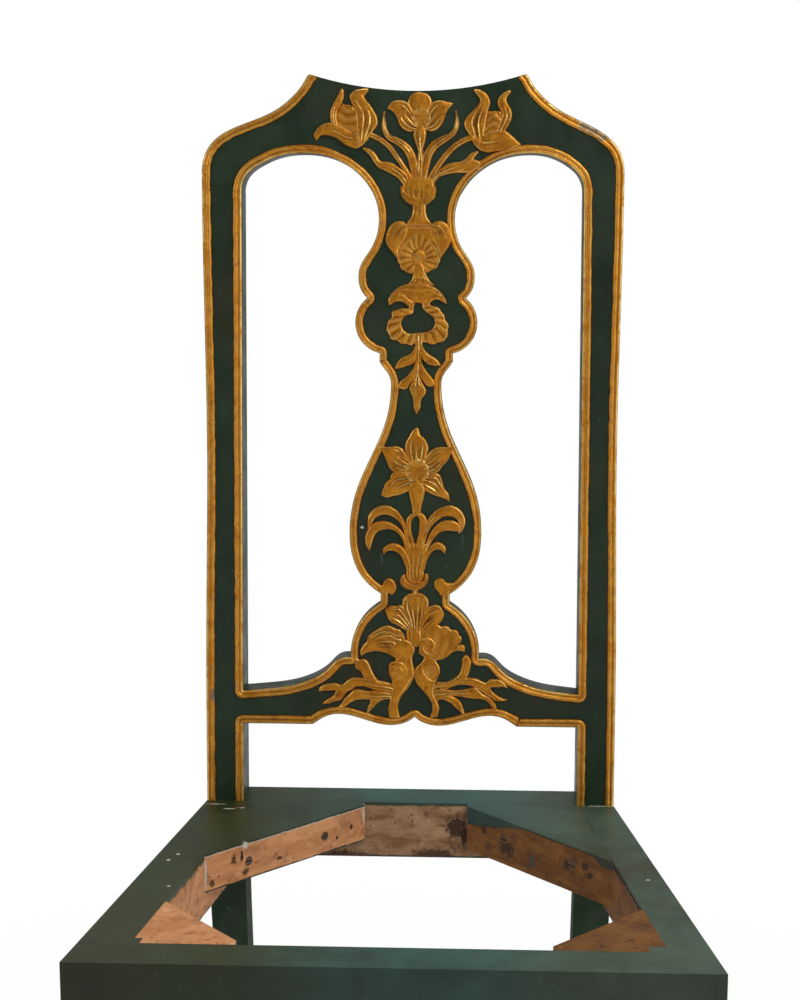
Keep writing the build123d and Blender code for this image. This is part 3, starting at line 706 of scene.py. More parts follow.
def gilt_finish():
    """Gold leaf over clay. Two marks on the mesh say where ridges get painted highlight and burnish, and
    recesses painted shade and dirt.
    """
    finish, tree, surface = new_finish("gilding", Roughness=0.4, Metallic=0.78, Specular_IOR_Level=0.3)
    highlight_and_burnish, shade_and_dirt = (new_node(tree, "Attribute", attribute_name=mark).outputs["Fac"] for mark in MARKS)
    colour = mix_colours(tree, effect(tree, mottle, Scale=90.0, Low=0.3, High=0.7), GOLD, GOLD_DEEP)
    rubbed = effect(tree, mottle, Scale=120.0, Low=0.58, High=0.70)
    colour = wash(tree, colour, rubbed, BOLE_SHARE, BOLE)
    # Painted shade, together with dirt, darkens the recesses.
    colour = wash(tree, colour, shade_and_dirt, SHADE_AND_DIRT_SHARE, GOLD_SHADE_AND_DIRT)
    # Painted highlight, together with burnish, brightens the ridges.
    highlight_and_burnish_share = map_range(tree, effect(tree, mottle, Scale=70.0, Low=0.3, High=0.6), 0, 1, *HIGHLIGHT_AND_BURNISH_RANGE)
    highlight_and_burnish_share = math_node(tree, "MULTIPLY", highlight_and_burnish, highlight_and_burnish_share)
    colour = mix_colours(tree, highlight_and_burnish_share, colour, GOLD_HIGHLIGHT_AND_BURNISH)
    dirt = effect(tree, specks, Scale=420.0, Size=0.22, Share=0.46)
    colour = wash(tree, colour, dirt, DIRT_SHARE, GOLD_SHADE_AND_DIRT)
    tree.links.new(add_marks(tree, colour, GILT_MARKS), surface.inputs["Base Color"])
    tree.links.new(map_range(tree, highlight_and_burnish_share, 0, 1, DULL_GOLD, BRIGHT_GOLD), surface.inputs["Roughness"])
    uneven_leaf = noise(tree, object_place(tree), LEAF_SCALE, detail=4.0)
    relief = math_node(tree, "ADD", uneven_leaf, dirt)
    set_bump(tree, surface, relief, distance=0.0006, strength=0.6)
    return finish


gilding = gilt_finish()
print("gilding uses", len(gilding.node_tree.nodes), "nodes")

# %% [markdown]
# ## Screws, and every finish in its place
#
# The screws are hand-cut iron, grey-brown with rust. Then each piece of wood gets its finish by
# name. Front rail, front legs and knee brackets take the finish of the rear rail, as they were
# painted with it.

# %% Iron
IRON = (0.13, 0.11, 0.09)
RUST = (0.10, 0.045, 0.02)

iron, tree, surface = new_finish("screw_iron", Roughness=0.55, Metallic=0.7)
rust = effect(tree, mottle, Scale=500.0, Low=0.35, High=0.6)
tree.links.new(mix_colours(tree, rust, IRON, RUST), surface.inputs["Base Color"])
set_bump(tree, surface, rust, distance=0.0002, strength=0.4)
print("screw iron uses", len(tree.nodes), "nodes")

# %% Paint the wooden pieces
PAINTED_BACK = ("crest_rail", "splat", "lower_back_rail", "left_back_post", "right_back_post")
finish_of = {
    "corner_block_screws": iron,
    "left_rear_corner_block": left_block,
    "right_rear_corner_block": right_block,
    "left_front_corner_block": left_front_block,
    "right_front_corner_block": right_front_block,
    "left_side_rail": left_rail,
    "right_side_rail": right_rail,
}
finish_of.update({name: back_paint for name in PAINTED_BACK})
for name, piece in nodes.items():
    piece.data.materials.clear()
    piece.data.materials.append(finish_of.get(name, rear_rail))
print("pieces painted:", len(nodes), "of them with back paint:", len(PAINTED_BACK))

# %% [markdown]
# ## Carving tools
#
# Gesso is brushed on, left to set and then cut, so the flowers have steep little walls, rounded
# backs and fine grooves. Sculpting by hand would not be exact, and flat curves with a bevel would
# all look like wire. Here each leaf is a small grid of points between two drawn edges. A formula
# gives the height over the wood, so grooves, rings and curled rims are only numbers.
# Every point also keeps two marks for the gilding: how much painted highlight and burnish it takes as a
# ridge, and how much painted shade and dirt as a recess.

# %% Smooth lines
CARVING_STEP = 1.2
FINE_STEPS = 10
LEAST_GAP = 0.05
CLOSE_STOPS = 0.2
TRIAL_BEND = [(0, 10), (7, 7), (10, 0)]


def curve_through(points, shares):
    """Points of a smooth curve (centripetal Catmull-Rom), at shares of its length or in even steps."""
    points = np.array(points, float)
    line = np.vstack([2 * points[0] - points[1], points, 2 * points[-1] - points[-2]])
    gaps = np.maximum(np.hypot(*np.diff(line, axis=0).T), LEAST_GAP) ** 0.5
    knots = np.concatenate([[0], np.cumsum(gaps)])
    fine = []
    for i in range(len(points) - 1):
        (p0, p1, p2, p3), (k0, k1, k2, k3) = line[i:i + 4], knots[i:i + 4]
        k = np.linspace(k1, k2, FINE_STEPS, endpoint=False)[:, None]
        a1 = ((k1 - k) * p0 + (k - k0) * p1) / (k1 - k0)
        a2 = ((k2 - k) * p1 + (k - k1) * p2) / (k2 - k1)
        a3 = ((k3 - k) * p2 + (k - k2) * p3) / (k3 - k2)
        b1 = ((k2 - k) * a1 + (k - k0) * a2) / (k2 - k0)
        b2 = ((k3 - k) * a2 + (k - k1) * a3) / (k3 - k1)
        fine.append(((k2 - k) * b1 + (k - k1) * b2) / (k2 - k1))
    fine = np.vstack(fine + [points[-1:]])
    along = np.concatenate([[0], np.cumsum(np.hypot(*np.diff(fine, axis=0).T))])
    even = along[-1] * (np.linspace(0, 1, shares) if np.isscalar(shares) else shares)
    return np.column_stack([np.interp(even, along, fine[:, 0]), np.interp(even, along, fine[:, 1])])


def line_length(points):
    return float(np.hypot(*np.diff(np.array(points, float), axis=0).T).sum())


def across_line(line):
    """Unit vectors square to a line, to its left."""
    ahead = np.gradient(line, axis=0)
    ahead /= np.maximum(np.hypot(*ahead.T), 1e-9)[:, None]
    return np.column_stack([-ahead[:, 1], ahead[:, 0]])


def ease(value):
    value = np.clip(value, 0, 1)
    return value * value * (3 - 2 * value)


def bell(value, width):
    return np.exp(-(value / width) ** 2)


def fill_in(stops, step):
    """The stops in order, with even places between those that lie far apart."""
    stops = sorted(stops)
    kept = [stops[0]] + [a for a, b in zip(stops[1:], stops[2:]) if b - a > CLOSE_STOPS] + stops[-1:]
    pairs = zip(kept, kept[1:])
    places = [np.linspace(a, b, max(1, round((b - a) / step)), endpoint=False) for a, b in pairs]
    return np.concatenate(places + [kept[-1:]])


print("a trial bend is", round(line_length(curve_through(TRIAL_BEND, 20)), 1), "mm long")

# %% Walls of the carving
SUNK = -0.35
WALL_LEAN = 0.4


def skirt(grid):
    """Adds a ring of sunk points round a grid, so that it gets walls that lean out a little."""
    x, s, n, highlight_and_burnish, shade_and_dirt = (np.pad(layer, 1, mode="edge") for layer in grid)
    middle = np.column_stack([x.mean(axis=1), s.mean(axis=1)])
    aside = across_line(middle[1:-1])
    aside = np.vstack([aside[:1], aside, aside[-1:]])
    first = np.column_stack([x[:, 0], s[:, 0]]) - np.column_stack([x[:, -1], s[:, -1]])
    side = 1.0 if (first * aside).sum() >= 0 else -1.0
    for column, sign in ((0, side), (-1, -side)):
        x[:, column] += sign * WALL_LEAN * aside[:, 0]
        s[:, column] += sign * WALL_LEAN * aside[:, 1]
    ahead = np.column_stack([aside[:, 1], -aside[:, 0]])
    for row, sign in ((0, -1.0), (-1, 1.0)):
        x[row] += sign * WALL_LEAN * ahead[row, 0]
        s[row] += sign * WALL_LEAN * ahead[row, 1]
    # The sunk ring takes full painted shade and dirt, which draws a dark outline at the foot of every wall.
    for ring in (np.s_[0, :], np.s_[-1, :], np.s_[:, 0], np.s_[:, -1]):
        n[ring] = SUNK
        highlight_and_burnish[ring] = 0.0
        shade_and_dirt[ring] = 1.0
    return x, s, n, highlight_and_burnish, shade_and_dirt


print("walls go", -SUNK, "mm into the wood and lean out by", WALL_LEAN, "mm")

# %% Points across a leaf
RIM_REACH = 2.4
RIM_STOPS = (0, 0.3, 0.75, 1.4, RIM_REACH)
LINE_WIDTH = 0.45
LINE_CUT = 1.1
PLAIN_STEP = 1.7
MOST_RIM = 0.4


def shares_across(wide, cuts):
    """Places across a leaf, closer together at its rims and at its raised lines."""
    usual = wide.mean()
    squeeze = min(1.0, MOST_RIM * usual / RIM_REACH)
    stops = [stop * squeeze for stop in RIM_STOPS]
    stops += [usual - stop for stop in stops]
    sides = (-LINE_CUT, -LINE_WIDTH, 0, LINE_WIDTH, LINE_CUT)
    stops += [usual * cut + side for cut in cuts for side in sides]
    v = fill_in([stop for stop in stops if 0 <= stop <= usual], PLAIN_STEP)[None, :] / usual
    usual_rim = RIM_REACH * squeeze / usual
    rim_here = np.minimum(RIM_REACH / np.maximum(wide, 1e-6), MOST_RIM)
    inner = rim_here + (v - usual_rim) / (1 - 2 * usual_rim) * (1 - 2 * rim_here)
    u = np.where(v < usual_rim, v / usual_rim * rim_here, np.minimum(inner, 1 - rim_here))
    return np.where(v > 1 - usual_rim, 1 - (1 - v) / usual_rim * rim_here, u)


print("a plain leaf 10 mm wide has", shares_across(np.full((1, 1), 10.0), []).size, "points across")

# %% One carved leaf
RIM_LINE = 0.75
RIM_WIDTH = 0.45
RIM_RISE = 0.3
RIM_HIGHLIGHT_WIDTH = 0.5
GUTTER_LINE = 1.9
GUTTER_WIDTH = 0.6
LINE_RISE = 0.42
SHOULDER_WIDTH = 1.5
RING_FADE = 1.2
END_SHARE = 0.25
START_SHARE = 0.06
SCALLOP_SHARE = 0.04
TOO_NARROW = 2.5
WIDE_ENOUGH = 5.5


def leaf(edge_a, edge_b, high=2.6, lines=0, reach=0.6, crown=0.4, rings=0, groove=0.3, bow=0.0,
         scallop=0.0, base=0.85, tip=0.8, rim=1.0, shoulder=0.6, ribs=1.0):
    """Leaf between two edges, drawn from base to tip, with fine raised lines that start at its base.

    Rings run across it, and with a scallop they also shape edge_a. Sizes are in millimetres.
    """
    length = max(line_length(edge_a), line_length(edge_b))
    step = min(CARVING_STEP, length / (6 * rings)) if rings else CARVING_STEP
    t = fill_in([0] + [length - stop for stop in RIM_STOPS], step) / length
    a, b = curve_through(edge_a, t), curve_through(edge_b, t)
    t = t[:, None]
    outward = (a - b) / np.maximum(np.hypot(*(a - b).T), 1e-6)[:, None]
    both_ends = ease(t / SCALLOP_SHARE), ease((1 - t) / SCALLOP_SHARE)
    a = a - outward * scallop * (1 - abs(np.sin(pi * rings * t))) * both_ends[0] * both_ends[1]
    wide = np.hypot(*(a - b).T)[:, None]
    cuts = [(k + 1) / (lines + 1) for k in range(lines)]
    u = shares_across(wide, cuts)
    place = a[:, None, :] + (b - a)[:, None, :] * u[:, :, None]

    depth = np.minimum(np.minimum(u, 1 - u) * wide, length * (1 - t))
    ends = (base + (1 - base) * ease(t / END_SHARE)) * (tip + (1 - tip) * ease((1 - t) / END_SHARE))
    n = high * ends * (shoulder + (1 - shoulder) * ease(depth / SHOULDER_WIDTH)) + crown * np.sin(pi * u)
    room = rim * ease((wide - TOO_NARROW) / (WIDE_ENOUGH - TOO_NARROW))
    gutter = bell(depth - GUTTER_LINE, GUTTER_WIDTH)
    n += room * RIM_RISE * (bell(depth - RIM_LINE, RIM_WIDTH) - 0.6 * gutter)
    # Painted highlight along the rim, and painted shade with dirt in the gutter inside it.
    highlight_and_burnish = 0.45 * rim * bell(depth - RIM_LINE, RIM_HIGHLIGHT_WIDTH)
    shade_and_dirt = 0.35 * room * gutter
    for k, cut in enumerate(cuts):  # the sines make no two lines run or end quite alike
        apart = abs(u - cut - 0.012 * np.sin(7 * t + 2.1 * k)) * wide
        end = min(1.0, reach * (1 + 0.18 * np.sin(2.7 * k + 1)))
        fade = ribs * ease(t / START_SHARE) * (1 - ease((t - 0.6 * end) / (0.4 * end)))
        n += fade * LINE_RISE * (bell(apart, LINE_WIDTH) - 0.85 * bell(apart - LINE_CUT, 0.55))
        # Each raised line gets a painted highlight, and the cut beside it painted shade with dirt.
        highlight_and_burnish = np.maximum(highlight_and_burnish, 0.75 * fade * bell(apart, LINE_WIDTH))
        shade_and_dirt = np.maximum(shade_and_dirt, 0.85 * fade * bell(apart - LINE_CUT, 0.6))
    if rings:
        ripple = -np.cos(2 * pi * (rings * t + bow * np.sin(pi * u))) * ease(depth / RING_FADE)
        n += groove * ripple
        # Ring crests get painted highlight, ring troughs painted shade with dirt.
        highlight_and_burnish = np.maximum(highlight_and_burnish, 1.3 * groove * np.clip(ripple, 0, 1) ** 2)
        shade_and_dirt = np.maximum(shade_and_dirt, min(0.8, 2.6 * groove) * np.clip(-ripple, 0, 1) ** 3)
    return skirt((place[:, :, 0], place[:, :, 1], n, highlight_and_burnish, shade_and_dirt))


trial = leaf([(0, 0), (-6, 15), (0, 30)], [(4, 0), (8, 15), (2, 30)], lines=2)
print("a trial leaf has", trial[0].size, "points and stands", round(float(trial[2].max()), 2), "mm high")


# %% Stems and threads
STROKE_STEP = 2.5


def stroke(line, widths, **shape):
    """Leaf of a given width along a middle line, for stems and tendrils."""
    count = max(8, round(line_length(line) / STROKE_STEP))
    middle = curve_through(line, count)
    wide = np.interp(np.linspace(0, 1, count), np.linspace(0, 1, len(widths)), widths)
    aside = across_line(middle) * wide[:, None] / 2
    return leaf(middle + aside, middle - aside, **shape)


def thread(line, widths, high):
    """Fine raised line that lies over other carving."""
    return stroke(line, widths, high=high, rim=0.5, crown=0.2, shoulder=0.85, base=0.95, tip=0.95)


print("a trial thread has", thread(TRIAL_BEND, (1, 2, 1), 2.0)[0].size, "points")


# %% Round bosses
POINTS_ROUND = 6.3
POINTS_A_RUFFLE = 6
RUFFLE_REACH = 0.06


def boss(centre, radius, heights, ruffles=0, ruffle=0.0, squash=1.0, rim=0.0):
    """Round boss; heights are (share of the radius, height) pairs from the middle outwards."""
    shares, levels = zip(*heights)
    count = max(16, ruffles * POINTS_A_RUFFLE, round(POINTS_ROUND * radius))
    t = np.linspace(0, 2 * pi, count + 1)[:, None]
    u = fill_in([0] + [radius - stop for stop in RIM_STOPS if stop < radius / 2], 1.0)[None, :] / radius
    wave = np.cos(ruffles * t) * u ** 2 * (ruffles > 0)
    reach = radius * u * (1 + RUFFLE_REACH * wave)
    depth = radius * (1 - u)
    n = np.interp(u, shares, levels) + ruffle * wave + rim * RIM_RISE * bell(depth - RIM_LINE, RIM_WIDTH)
    # Parts above the boss's mean height get painted highlight, parts below painted shade with dirt; the rim
    # line adds its own painted highlight.
    slope = np.interp(u, shares, levels) - np.mean(levels)
    steep = np.ptp(levels) + 0.5
    highlight_and_burnish = np.clip(slope / steep + 0.4 * wave, 0, 0.7)
    highlight_and_burnish = np.maximum(highlight_and_burnish, 0.6 * rim * bell(depth - RIM_LINE, RIM_HIGHLIGHT_WIDTH)) * np.ones_like(t)
    shade_and_dirt = np.clip(-slope / steep - 0.4 * wave, 0, 1) * np.ones_like(t)
    x = centre[0] + reach * np.sin(t)
    s = centre[1] + squash * reach * np.cos(t)
    wall = [np.column_stack([layer, layer[:, -1:]]) for layer in (x, s, n, highlight_and_burnish, shade_and_dirt)]
    wall[0][:, -1] += WALL_LEAN * np.sin(t[:, 0])
    wall[1][:, -1] += WALL_LEAN * np.cos(t[:, 0])
    wall[2][:, -1] = SUNK
    # The foot of the wall takes full painted shade and dirt.
    wall[4][:, -1] = 1.0
    return tuple(wall)


print("a trial boss has", boss((0, 0), 8.0, [(0, 3), (1, 2)])[0].size, "points")

# %% From grids to a gilded piece
SHARP = radians(38)
HAND_WORK = 0.14
HAND_SCALE = 0.24
HAND_FROM = 0.5
CLOSED_GAP = 0.05
SAME_POINT = 0.015 * MM
NO_LENGTH = 0.001 * MM


def edge_ring(points):
    """Points round the outside of a grid, in order."""
    side = [row[-1] for row in points[1:-1]]
    back = [row[0] for row in points[-2:0:-1]]
    return points[0] + side + points[-1][::-1] + back


def close_below(shape, points, grid, band):
    """Closes a grid on its under side, where it lies sunk in the wood."""
    joined = np.hypot(grid[0][0] - grid[0][-1], grid[1][0] - grid[1][-1]).max() < CLOSED_GAP
    if band:
        for low, up in zip(points, points[1:]):
            shape.faces.new((low[0], up[0], up[-1], low[-1]))
        for end in [] if joined else (points[0], points[-1]):
            shape.faces.new(end)
    elif joined:
        shape.faces.new([row[-1] for row in points[:-1]])
    else:
        shape.faces.new(edge_ring(points))


def add_grid(shape, marks, grid, band):
    """Adds one grid to a shape as a closed shell, a little uneven where the carver's hand was."""
    points = []
    for row in zip(*grid):
        points.append([])
        for x, s, n, highlight_and_burnish, shade_and_dirt in zip(*row):
            worked = HAND_WORK * noise_at(Vector((x * HAND_SCALE, s * HAND_SCALE, 0))) * (n > HAND_FROM)
            point = shape.verts.new(on_back(x, s, n + worked))
            point[marks[0]], point[marks[1]] = highlight_and_burnish, shade_and_dirt
            points[-1].append(point)
    for low, up in zip(points, points[1:]):
        for j in range(len(low) - 1):
            shape.faces.new((low[j], low[j + 1], up[j + 1], up[j]))
    close_below(shape, points, grid, band)


def carve(name, *grids, band=False):
    """Joins grids of carving into one mesh of closed shells on the front of the back."""
    shape = bmesh.new()
    marks = [shape.verts.layers.float.new(mark) for mark in MARKS]
    for grid in grids:
        add_grid(shape, marks, grid, band)
    bmesh.ops.remove_doubles(shape, verts=shape.verts, dist=SAME_POINT)
    bmesh.ops.dissolve_degenerate(shape, edges=shape.edges, dist=NO_LENGTH)
    bmesh.ops.recalc_face_normals(shape, faces=shape.faces)
    open_edges = sum(1 for edge in shape.edges if len(edge.link_faces) != 2)
    mesh = bpy.data.meshes.new(name)
    shape.to_mesh(mesh)
    shape.free()
    mesh.shade_smooth()
    mesh.set_sharp_from_angle(angle=SHARP)
    mesh.materials.append(gilding)
    piece = put_in_scene(name, mesh)
    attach(piece, "root")
    print(name, "has", len(mesh.polygons), "faces and", open_edges, "open edges")


print("edges sharper than", round(degrees(SHARP)), "degrees stay sharp")

# %% [markdown]
# ## The gilded border
#
# A moulding of gesso follows every edge of the back: round the outside, round the three openings,
# and in and out of the lobes of the splat. The line to follow is already in the wood, so it is
# read from the front faces instead of being drawn again. Joints between pieces of wood are left
# out by a simple test: past a real edge there is air. The profile is swept with its true distance
# from the edge, which makes clean mitres in the corners.

# %% Read the edges of the wood
LONGEST_EDGE = 2.0
FACES_OUT = 0.999
ON_THE_FRONT = 0.1


def on_plane(point):
    """The x, s and n of a place in space, in millimetres."""
    away = point - FOOT
    return away.x / MM, away.dot(UP) / MM, away.dot(OUT) / MM


def front_edges(piece):
    """Directed edges round the flat front of a piece, with the wood on their left."""
    mesh = piece.data
    flat = [[round(value, 2) for value in on_plane(vertex.co)] for vertex in mesh.vertices]
    edges = set()
    for face in mesh.polygons:
        corners = [flat[i] for i in face.vertices]
        if face.normal.dot(OUT) > FACES_OUT and all(abs(corner[2]) < ON_THE_FRONT for corner in corners):
            ring = [tuple(corner[:2]) for corner in corners]
            edges.update(zip(ring, ring[1:] + ring[:1]))
    return [edge for edge in edges if edge[::-1] not in edges]


def cut_up(edges):
    """The same edges in short pieces, so that each can be kept or dropped by itself."""
    short = []
    for start, end in edges:
        parts = max(1, round(line_length([start, end]) / LONGEST_EDGE))
        line = [tuple(np.round(point, 3)) for point in np.linspace(start, end, parts + 1)]
        short.extend(pair for pair in zip(line, line[1:]) if pair[0] != pair[1])
    return short


outlines = {name: front_edges(nodes[name]) for name in PAINTED_BACK}
print("edges read:", {name: len(edges) for name, edges in outlines.items()})

# %% Keep the edges in air
AIR_TEST = 0.9
EAR_TOP = max(point[1] for edge in outlines["crest_rail"] for point in edge)
AT_EAR_TOP = EAR_TOP - 2
EAR_REACH = max(abs(point[0]) for edge in outlines["crest_rail"] for point in edge if point[1] > AT_EAR_TOP)
EAR_DEPTH = 25.0
AT_SEAT = 0.5


def inside(points, edges):
    """Even-odd test of points against a closed outline."""
    ax, a_s, bx, b_s = np.array(edges).reshape(-1, 4).T
    x, s = points[:, :1], points[:, 1:]
    level = np.where(a_s == b_s, 1.0, b_s - a_s)
    crossed = ((a_s > s) != (b_s > s)) & (x < ax + (bx - ax) / level * (s - a_s))
    return crossed.sum(axis=1) % 2 == 1


def edges_in_air(owner):
    """Short edges of one piece where the wood ends in air and the old maker ran a border."""
    short = np.array(cut_up(outlines[owner]))
    start, end = short[:, 0], short[:, 1]
    run = end - start
    right = np.column_stack([run[:, 1], -run[:, 0]]) / np.hypot(*run.T)[:, None]
    probe = (start + end) / 2 + right * AIR_TEST
    touches = np.any([inside(probe, edges) for name, edges in outlines.items() if name != owner], axis=0)
    reach = np.abs(short[:, :, 0]).max(axis=1)
    on_crest_top = (reach <= EAR_REACH + 0.1) & (short[:, :, 1].min(axis=1) > EAR_TOP - EAR_DEPTH)
    at_seat = short[:, :, 1].max(axis=1) < AT_SEAT
    return [(tuple(a), tuple(b)) for a, b in short[~(touches | on_crest_top | at_seat)]]


free_edges = {name: edges_in_air(name) for name in outlines}
print("short edges in air:", {name: len(edges) for name, edges in free_edges.items()})

# %% Join them into lines
SAME_PLACE = 2.5
TOUCHING = 0.05
SIDE_BY_SIDE = 0.3


def follow(edges):
    """Chains of edges whose ends meet."""
    after = dict(edges)
    starts = sorted(set(after) - set(after.values()))
    found = []
    while after:
        chain = [starts.pop() if starts else min(after)]
        while chain[-1] in after:
            chain.append(after.pop(chain[-1]))
        found.append(chain)
    return found


def meeting_point(before, after):
    """Where the end of one chain and the start of the next would cross, unless they run side by side."""
    a, b, c, d = (np.array(point) for point in (*before[-2:], *after[:2]))
    first, second, apart = b - a, d - c, c - a
    cross = first[0] * second[1] - first[1] * second[0]
    if abs(cross) < SIDE_BY_SIDE * np.hypot(*first) * np.hypot(*second):
        return None
    return tuple(a + first * (apart[0] * second[1] - apart[1] * second[0]) / cross)


def join_chains(chains):
    """Joins chains end to start, across the small steps between two pieces of wood."""
    chains = sorted(chains)
    joined = True
    while joined:
        joined = False
        for chain in chains:
            others = [(k, other[0]) for k, other in enumerate(chains) if other is not chain]
            gap, k = min([(line_length([chain[-1], start]), k) for k, start in others] + [(SAME_PLACE, 0)])
            if gap < SAME_PLACE:
                other = chains.pop(k)
                corner = meeting_point(chain, other) if gap >= TOUCHING else other[0]
                if corner:
                    chain[-1] = corner
                chain.extend(other[1:] if corner else other)
                joined = True
                break
    return chains


chains = join_chains([chain for edges in free_edges.values() for chain in follow(edges)])
for chain in chains:
    print("border of", round(line_length(chain)), "mm from", chain[0], "to", chain[-1])

# %% [markdown]
# ## The profile of the border
#
# The moulding has a small bead at the very edge of the wood, a quirk behind it and then a broad
# soft roll. Three lists of (distance from the edge, value) pairs say how high it stands, where a
# painted highlight lies on it and where painted shade and dirt darken it. Nobody laid it quite
# evenly, so its width wavers by a few parts in a hundred, and on the splat it is a little narrower.

# %% Profile of the border
BORDER_FORM = [
    (0.15, 0.15), (0.7, 0.95), (1.4, 1.5), (2.2, 1.5), (3.2, 1.3), (3.7, 0.95), (4.4, 1.5),
    (5.5, 2.1), (6.5, 2.2), (7.5, 1.7), (8.0, 1.2), (8.5, 0.5),
]
BORDER_HIGHLIGHT = [
    (0.15, 0.0), (0.6, 0.6), (1.4, 0.6), (2.2, 0.1), (5.2, 0.0), (6.2, 0.4), (7.0, 0.1), (7.6, 0.0),
]
BORDER_SHADE = [
    (0.15, 0.9), (0.5, 0.5), (1.1, 0.0), (3.0, 0.0), (3.7, 0.55), (4.4, 0.1), (7.5, 0.0), (8.5, 0.9),
]
STATIONS = np.array([distance for distance, _ in BORDER_FORM])
print("the moulding is", STATIONS[-1], "mm wide and", max(high for _, high in BORDER_FORM), "mm high")

# %% Even steps along the edge
BORDER_STEP = 1.6
CORNER = radians(28)
FAN_STEPS = 6


def turn_at(line, i):
    """Angle that a line turns through at one of its points."""
    before = line[i] - line[i - 1]
    after = line[(i + 1) % len(line)] - line[i]
    cross = before[0] * after[1] - before[1] * after[0]
    return abs(np.arctan2(cross, before @ after))


def even_corners(chain, closed):
    """Splits a chain into even steps, and keeps its real corners sharp."""
    line = np.array(chain[:-1] if closed else chain)
    if closed:
        turns = [turn_at(line, i) for i in range(len(line))]
        line = np.roll(line, -int(np.argmax(turns)), axis=0)
        line = np.vstack([line, line[:1]])
    corners = [i for i in range(1, len(line) - 1) if turn_at(line, i) > CORNER]
    stops = [0] + corners + [len(line) - 1]
    runs = []
    for first, last in zip(stops, stops[1:]):
        run = line[first:last + 1]
        count = max(3, round(line_length(run) / BORDER_STEP) + 1)
        runs.append(curve_through(run, count))
    return runs


def nearest(points, line):
    """Distance from each point to a polyline."""
    start, run = line[:-1], np.diff(line, axis=0)
    size = np.maximum((run ** 2).sum(axis=1), 1e-9)
    best = np.full(len(points), 1e9)
    for p, d, q in zip(start, run, size):
        part = np.clip(((points - p) @ d) / q, 0, 1)
        best = np.minimum(best, np.hypot(*(points - p - part[:, None] * d).T))
    return best


def sections_along(runs, closed):
    """Feet on the edge and ways into the wood, with a fan of ways in each hollow corner."""
    feet, ways = [], []
    for k, run in enumerate(runs):
        sides = across_line(run)
        if k or closed:
            before = across_line(runs[k - 1])[-1]
            turn = before[0] * sides[0][1] - before[1] * sides[0][0]
            angle = np.arctan2(turn, before @ sides[0])
            for share in np.linspace(0, 1, FAN_STEPS + 1)[1:-1] if angle < 0 else []:
                a = np.arctan2(before[1], before[0]) + angle * share
                feet.append(run[0])
                ways.append((np.cos(a), np.sin(a)))
        feet.extend(run)
        ways.extend(sides)
    if closed:
        feet, ways = feet + feet[:1], ways + ways[:1]
    return np.array(feet), np.array(ways)


corner_counts = [len(even_corners(chain, False)) - 1 for chain in chains]
print("sharp corners along the borders:", corner_counts)

# %% Sweep the border
SPLAT_SHARE = 0.88
NARROW_TO = 70
WIDENS_OVER = 30
EAR_FAN = [radians(angle) for angle in (20, 10)]
MITRE_FROM = 0.5
MITRE_STEP = 0.25
MITRE_SLACK = 0.06
SLOW_WAVE = 0.11
SLOW_SHARE = 0.06
QUICK_WAVE = 0.45
QUICK_SHARE = 0.03


def mitred_reach(feet, ways, edge):
    """How far each section can run into the wood before another stretch of edge is nearer."""
    reach = np.full(len(feet), STATIONS[-1])
    for d in np.arange(MITRE_FROM, STATIONS[-1] + 0.01, MITRE_STEP)[::-1]:
        true = nearest(feet + ways * d, edge)
        reach = np.where((true < d - MITRE_SLACK) & (reach >= d), d - MITRE_STEP, reach)
    return reach


def fan_at_ear(feet, ways, reach):
    """Turns a few more sections at a border's upper end, until it lies along the top of the ear."""
    first = feet[0][1] > feet[-1][1]
    foot, way, full = (layer[0 if first else -1] for layer in (feet, ways, reach))
    at_end = np.arctan2(way[1], way[0])
    angles = [at_end + (turn if first else -turn) for turn in EAR_FAN]
    fan = np.column_stack([np.cos(angles), np.sin(angles)])
    place = np.tile(foot, (len(fan), 1))
    depth = np.full(len(fan), full)
    if first:
        return np.vstack([place, feet]), np.vstack([fan, ways]), np.append(depth, reach)
    return np.vstack([feet, place]), np.vstack([ways, fan[::-1]]), np.append(reach, depth)


def uneven(x, s):
    """Share of its full width that the border has at one place."""
    slow = noise_at(Vector((x * SLOW_WAVE, s * SLOW_WAVE, 0.5)))
    quick = noise_at(Vector((x * QUICK_WAVE, s * QUICK_WAVE, 2.5)))
    return 1 + SLOW_SHARE * slow + QUICK_SHARE * quick


def border_grid(chain):
    """Grid of the moulding along one chain, mitred where the edge turns."""
    closed = line_length([chain[0], chain[-1]]) < SAME_PLACE
    runs = even_corners(chain, closed)
    feet, ways = sections_along(runs, closed)
    reach = mitred_reach(feet, ways, np.vstack(runs))
    if not closed and max(feet[0][1], feet[-1][1]) > AT_EAR_TOP:
        feet, ways, reach = fan_at_ear(feet, ways, reach)
    share = np.array([uneven(x, s) for x, s in feet])
    share *= SPLAT_SHARE + (1 - SPLAT_SHARE) * ease((np.abs(feet[:, 0]) - NARROW_TO) / WIDENS_OVER)
    share = np.where(reach > STATIONS[-1] - 0.1, share, 1.0)
    offsets = np.minimum(STATIONS[None, :], reach[:, None])
    x = feet[:, :1] + ways[:, :1] * offsets * share[:, None]
    s = feet[:, 1:] + ways[:, 1:] * offsets * share[:, None]
    # Along with the height, the profile gives each point its painted highlight and its painted shade with
    # dirt.
    heights = (np.interp(offsets, *zip(*form)) for form in (BORDER_FORM, BORDER_HIGHLIGHT, BORDER_SHADE))
    x, s, n, highlight_and_burnish, shade_and_dirt = (np.pad(layer, ((0, 0), (1, 1)), mode="edge") for layer in (x, s, *heights))
    # Both sunk sides take full painted shade and dirt.
    for column in (0, -1):
        n[:, column] = SUNK
        shade_and_dirt[:, column] = 1.0
    return x, s, n, highlight_and_burnish, shade_and_dirt


for number, chain in enumerate(sorted(chains, key=line_length)):
    carve(f"gilt_border_{number + 1}", border_grid(chain), band=True)

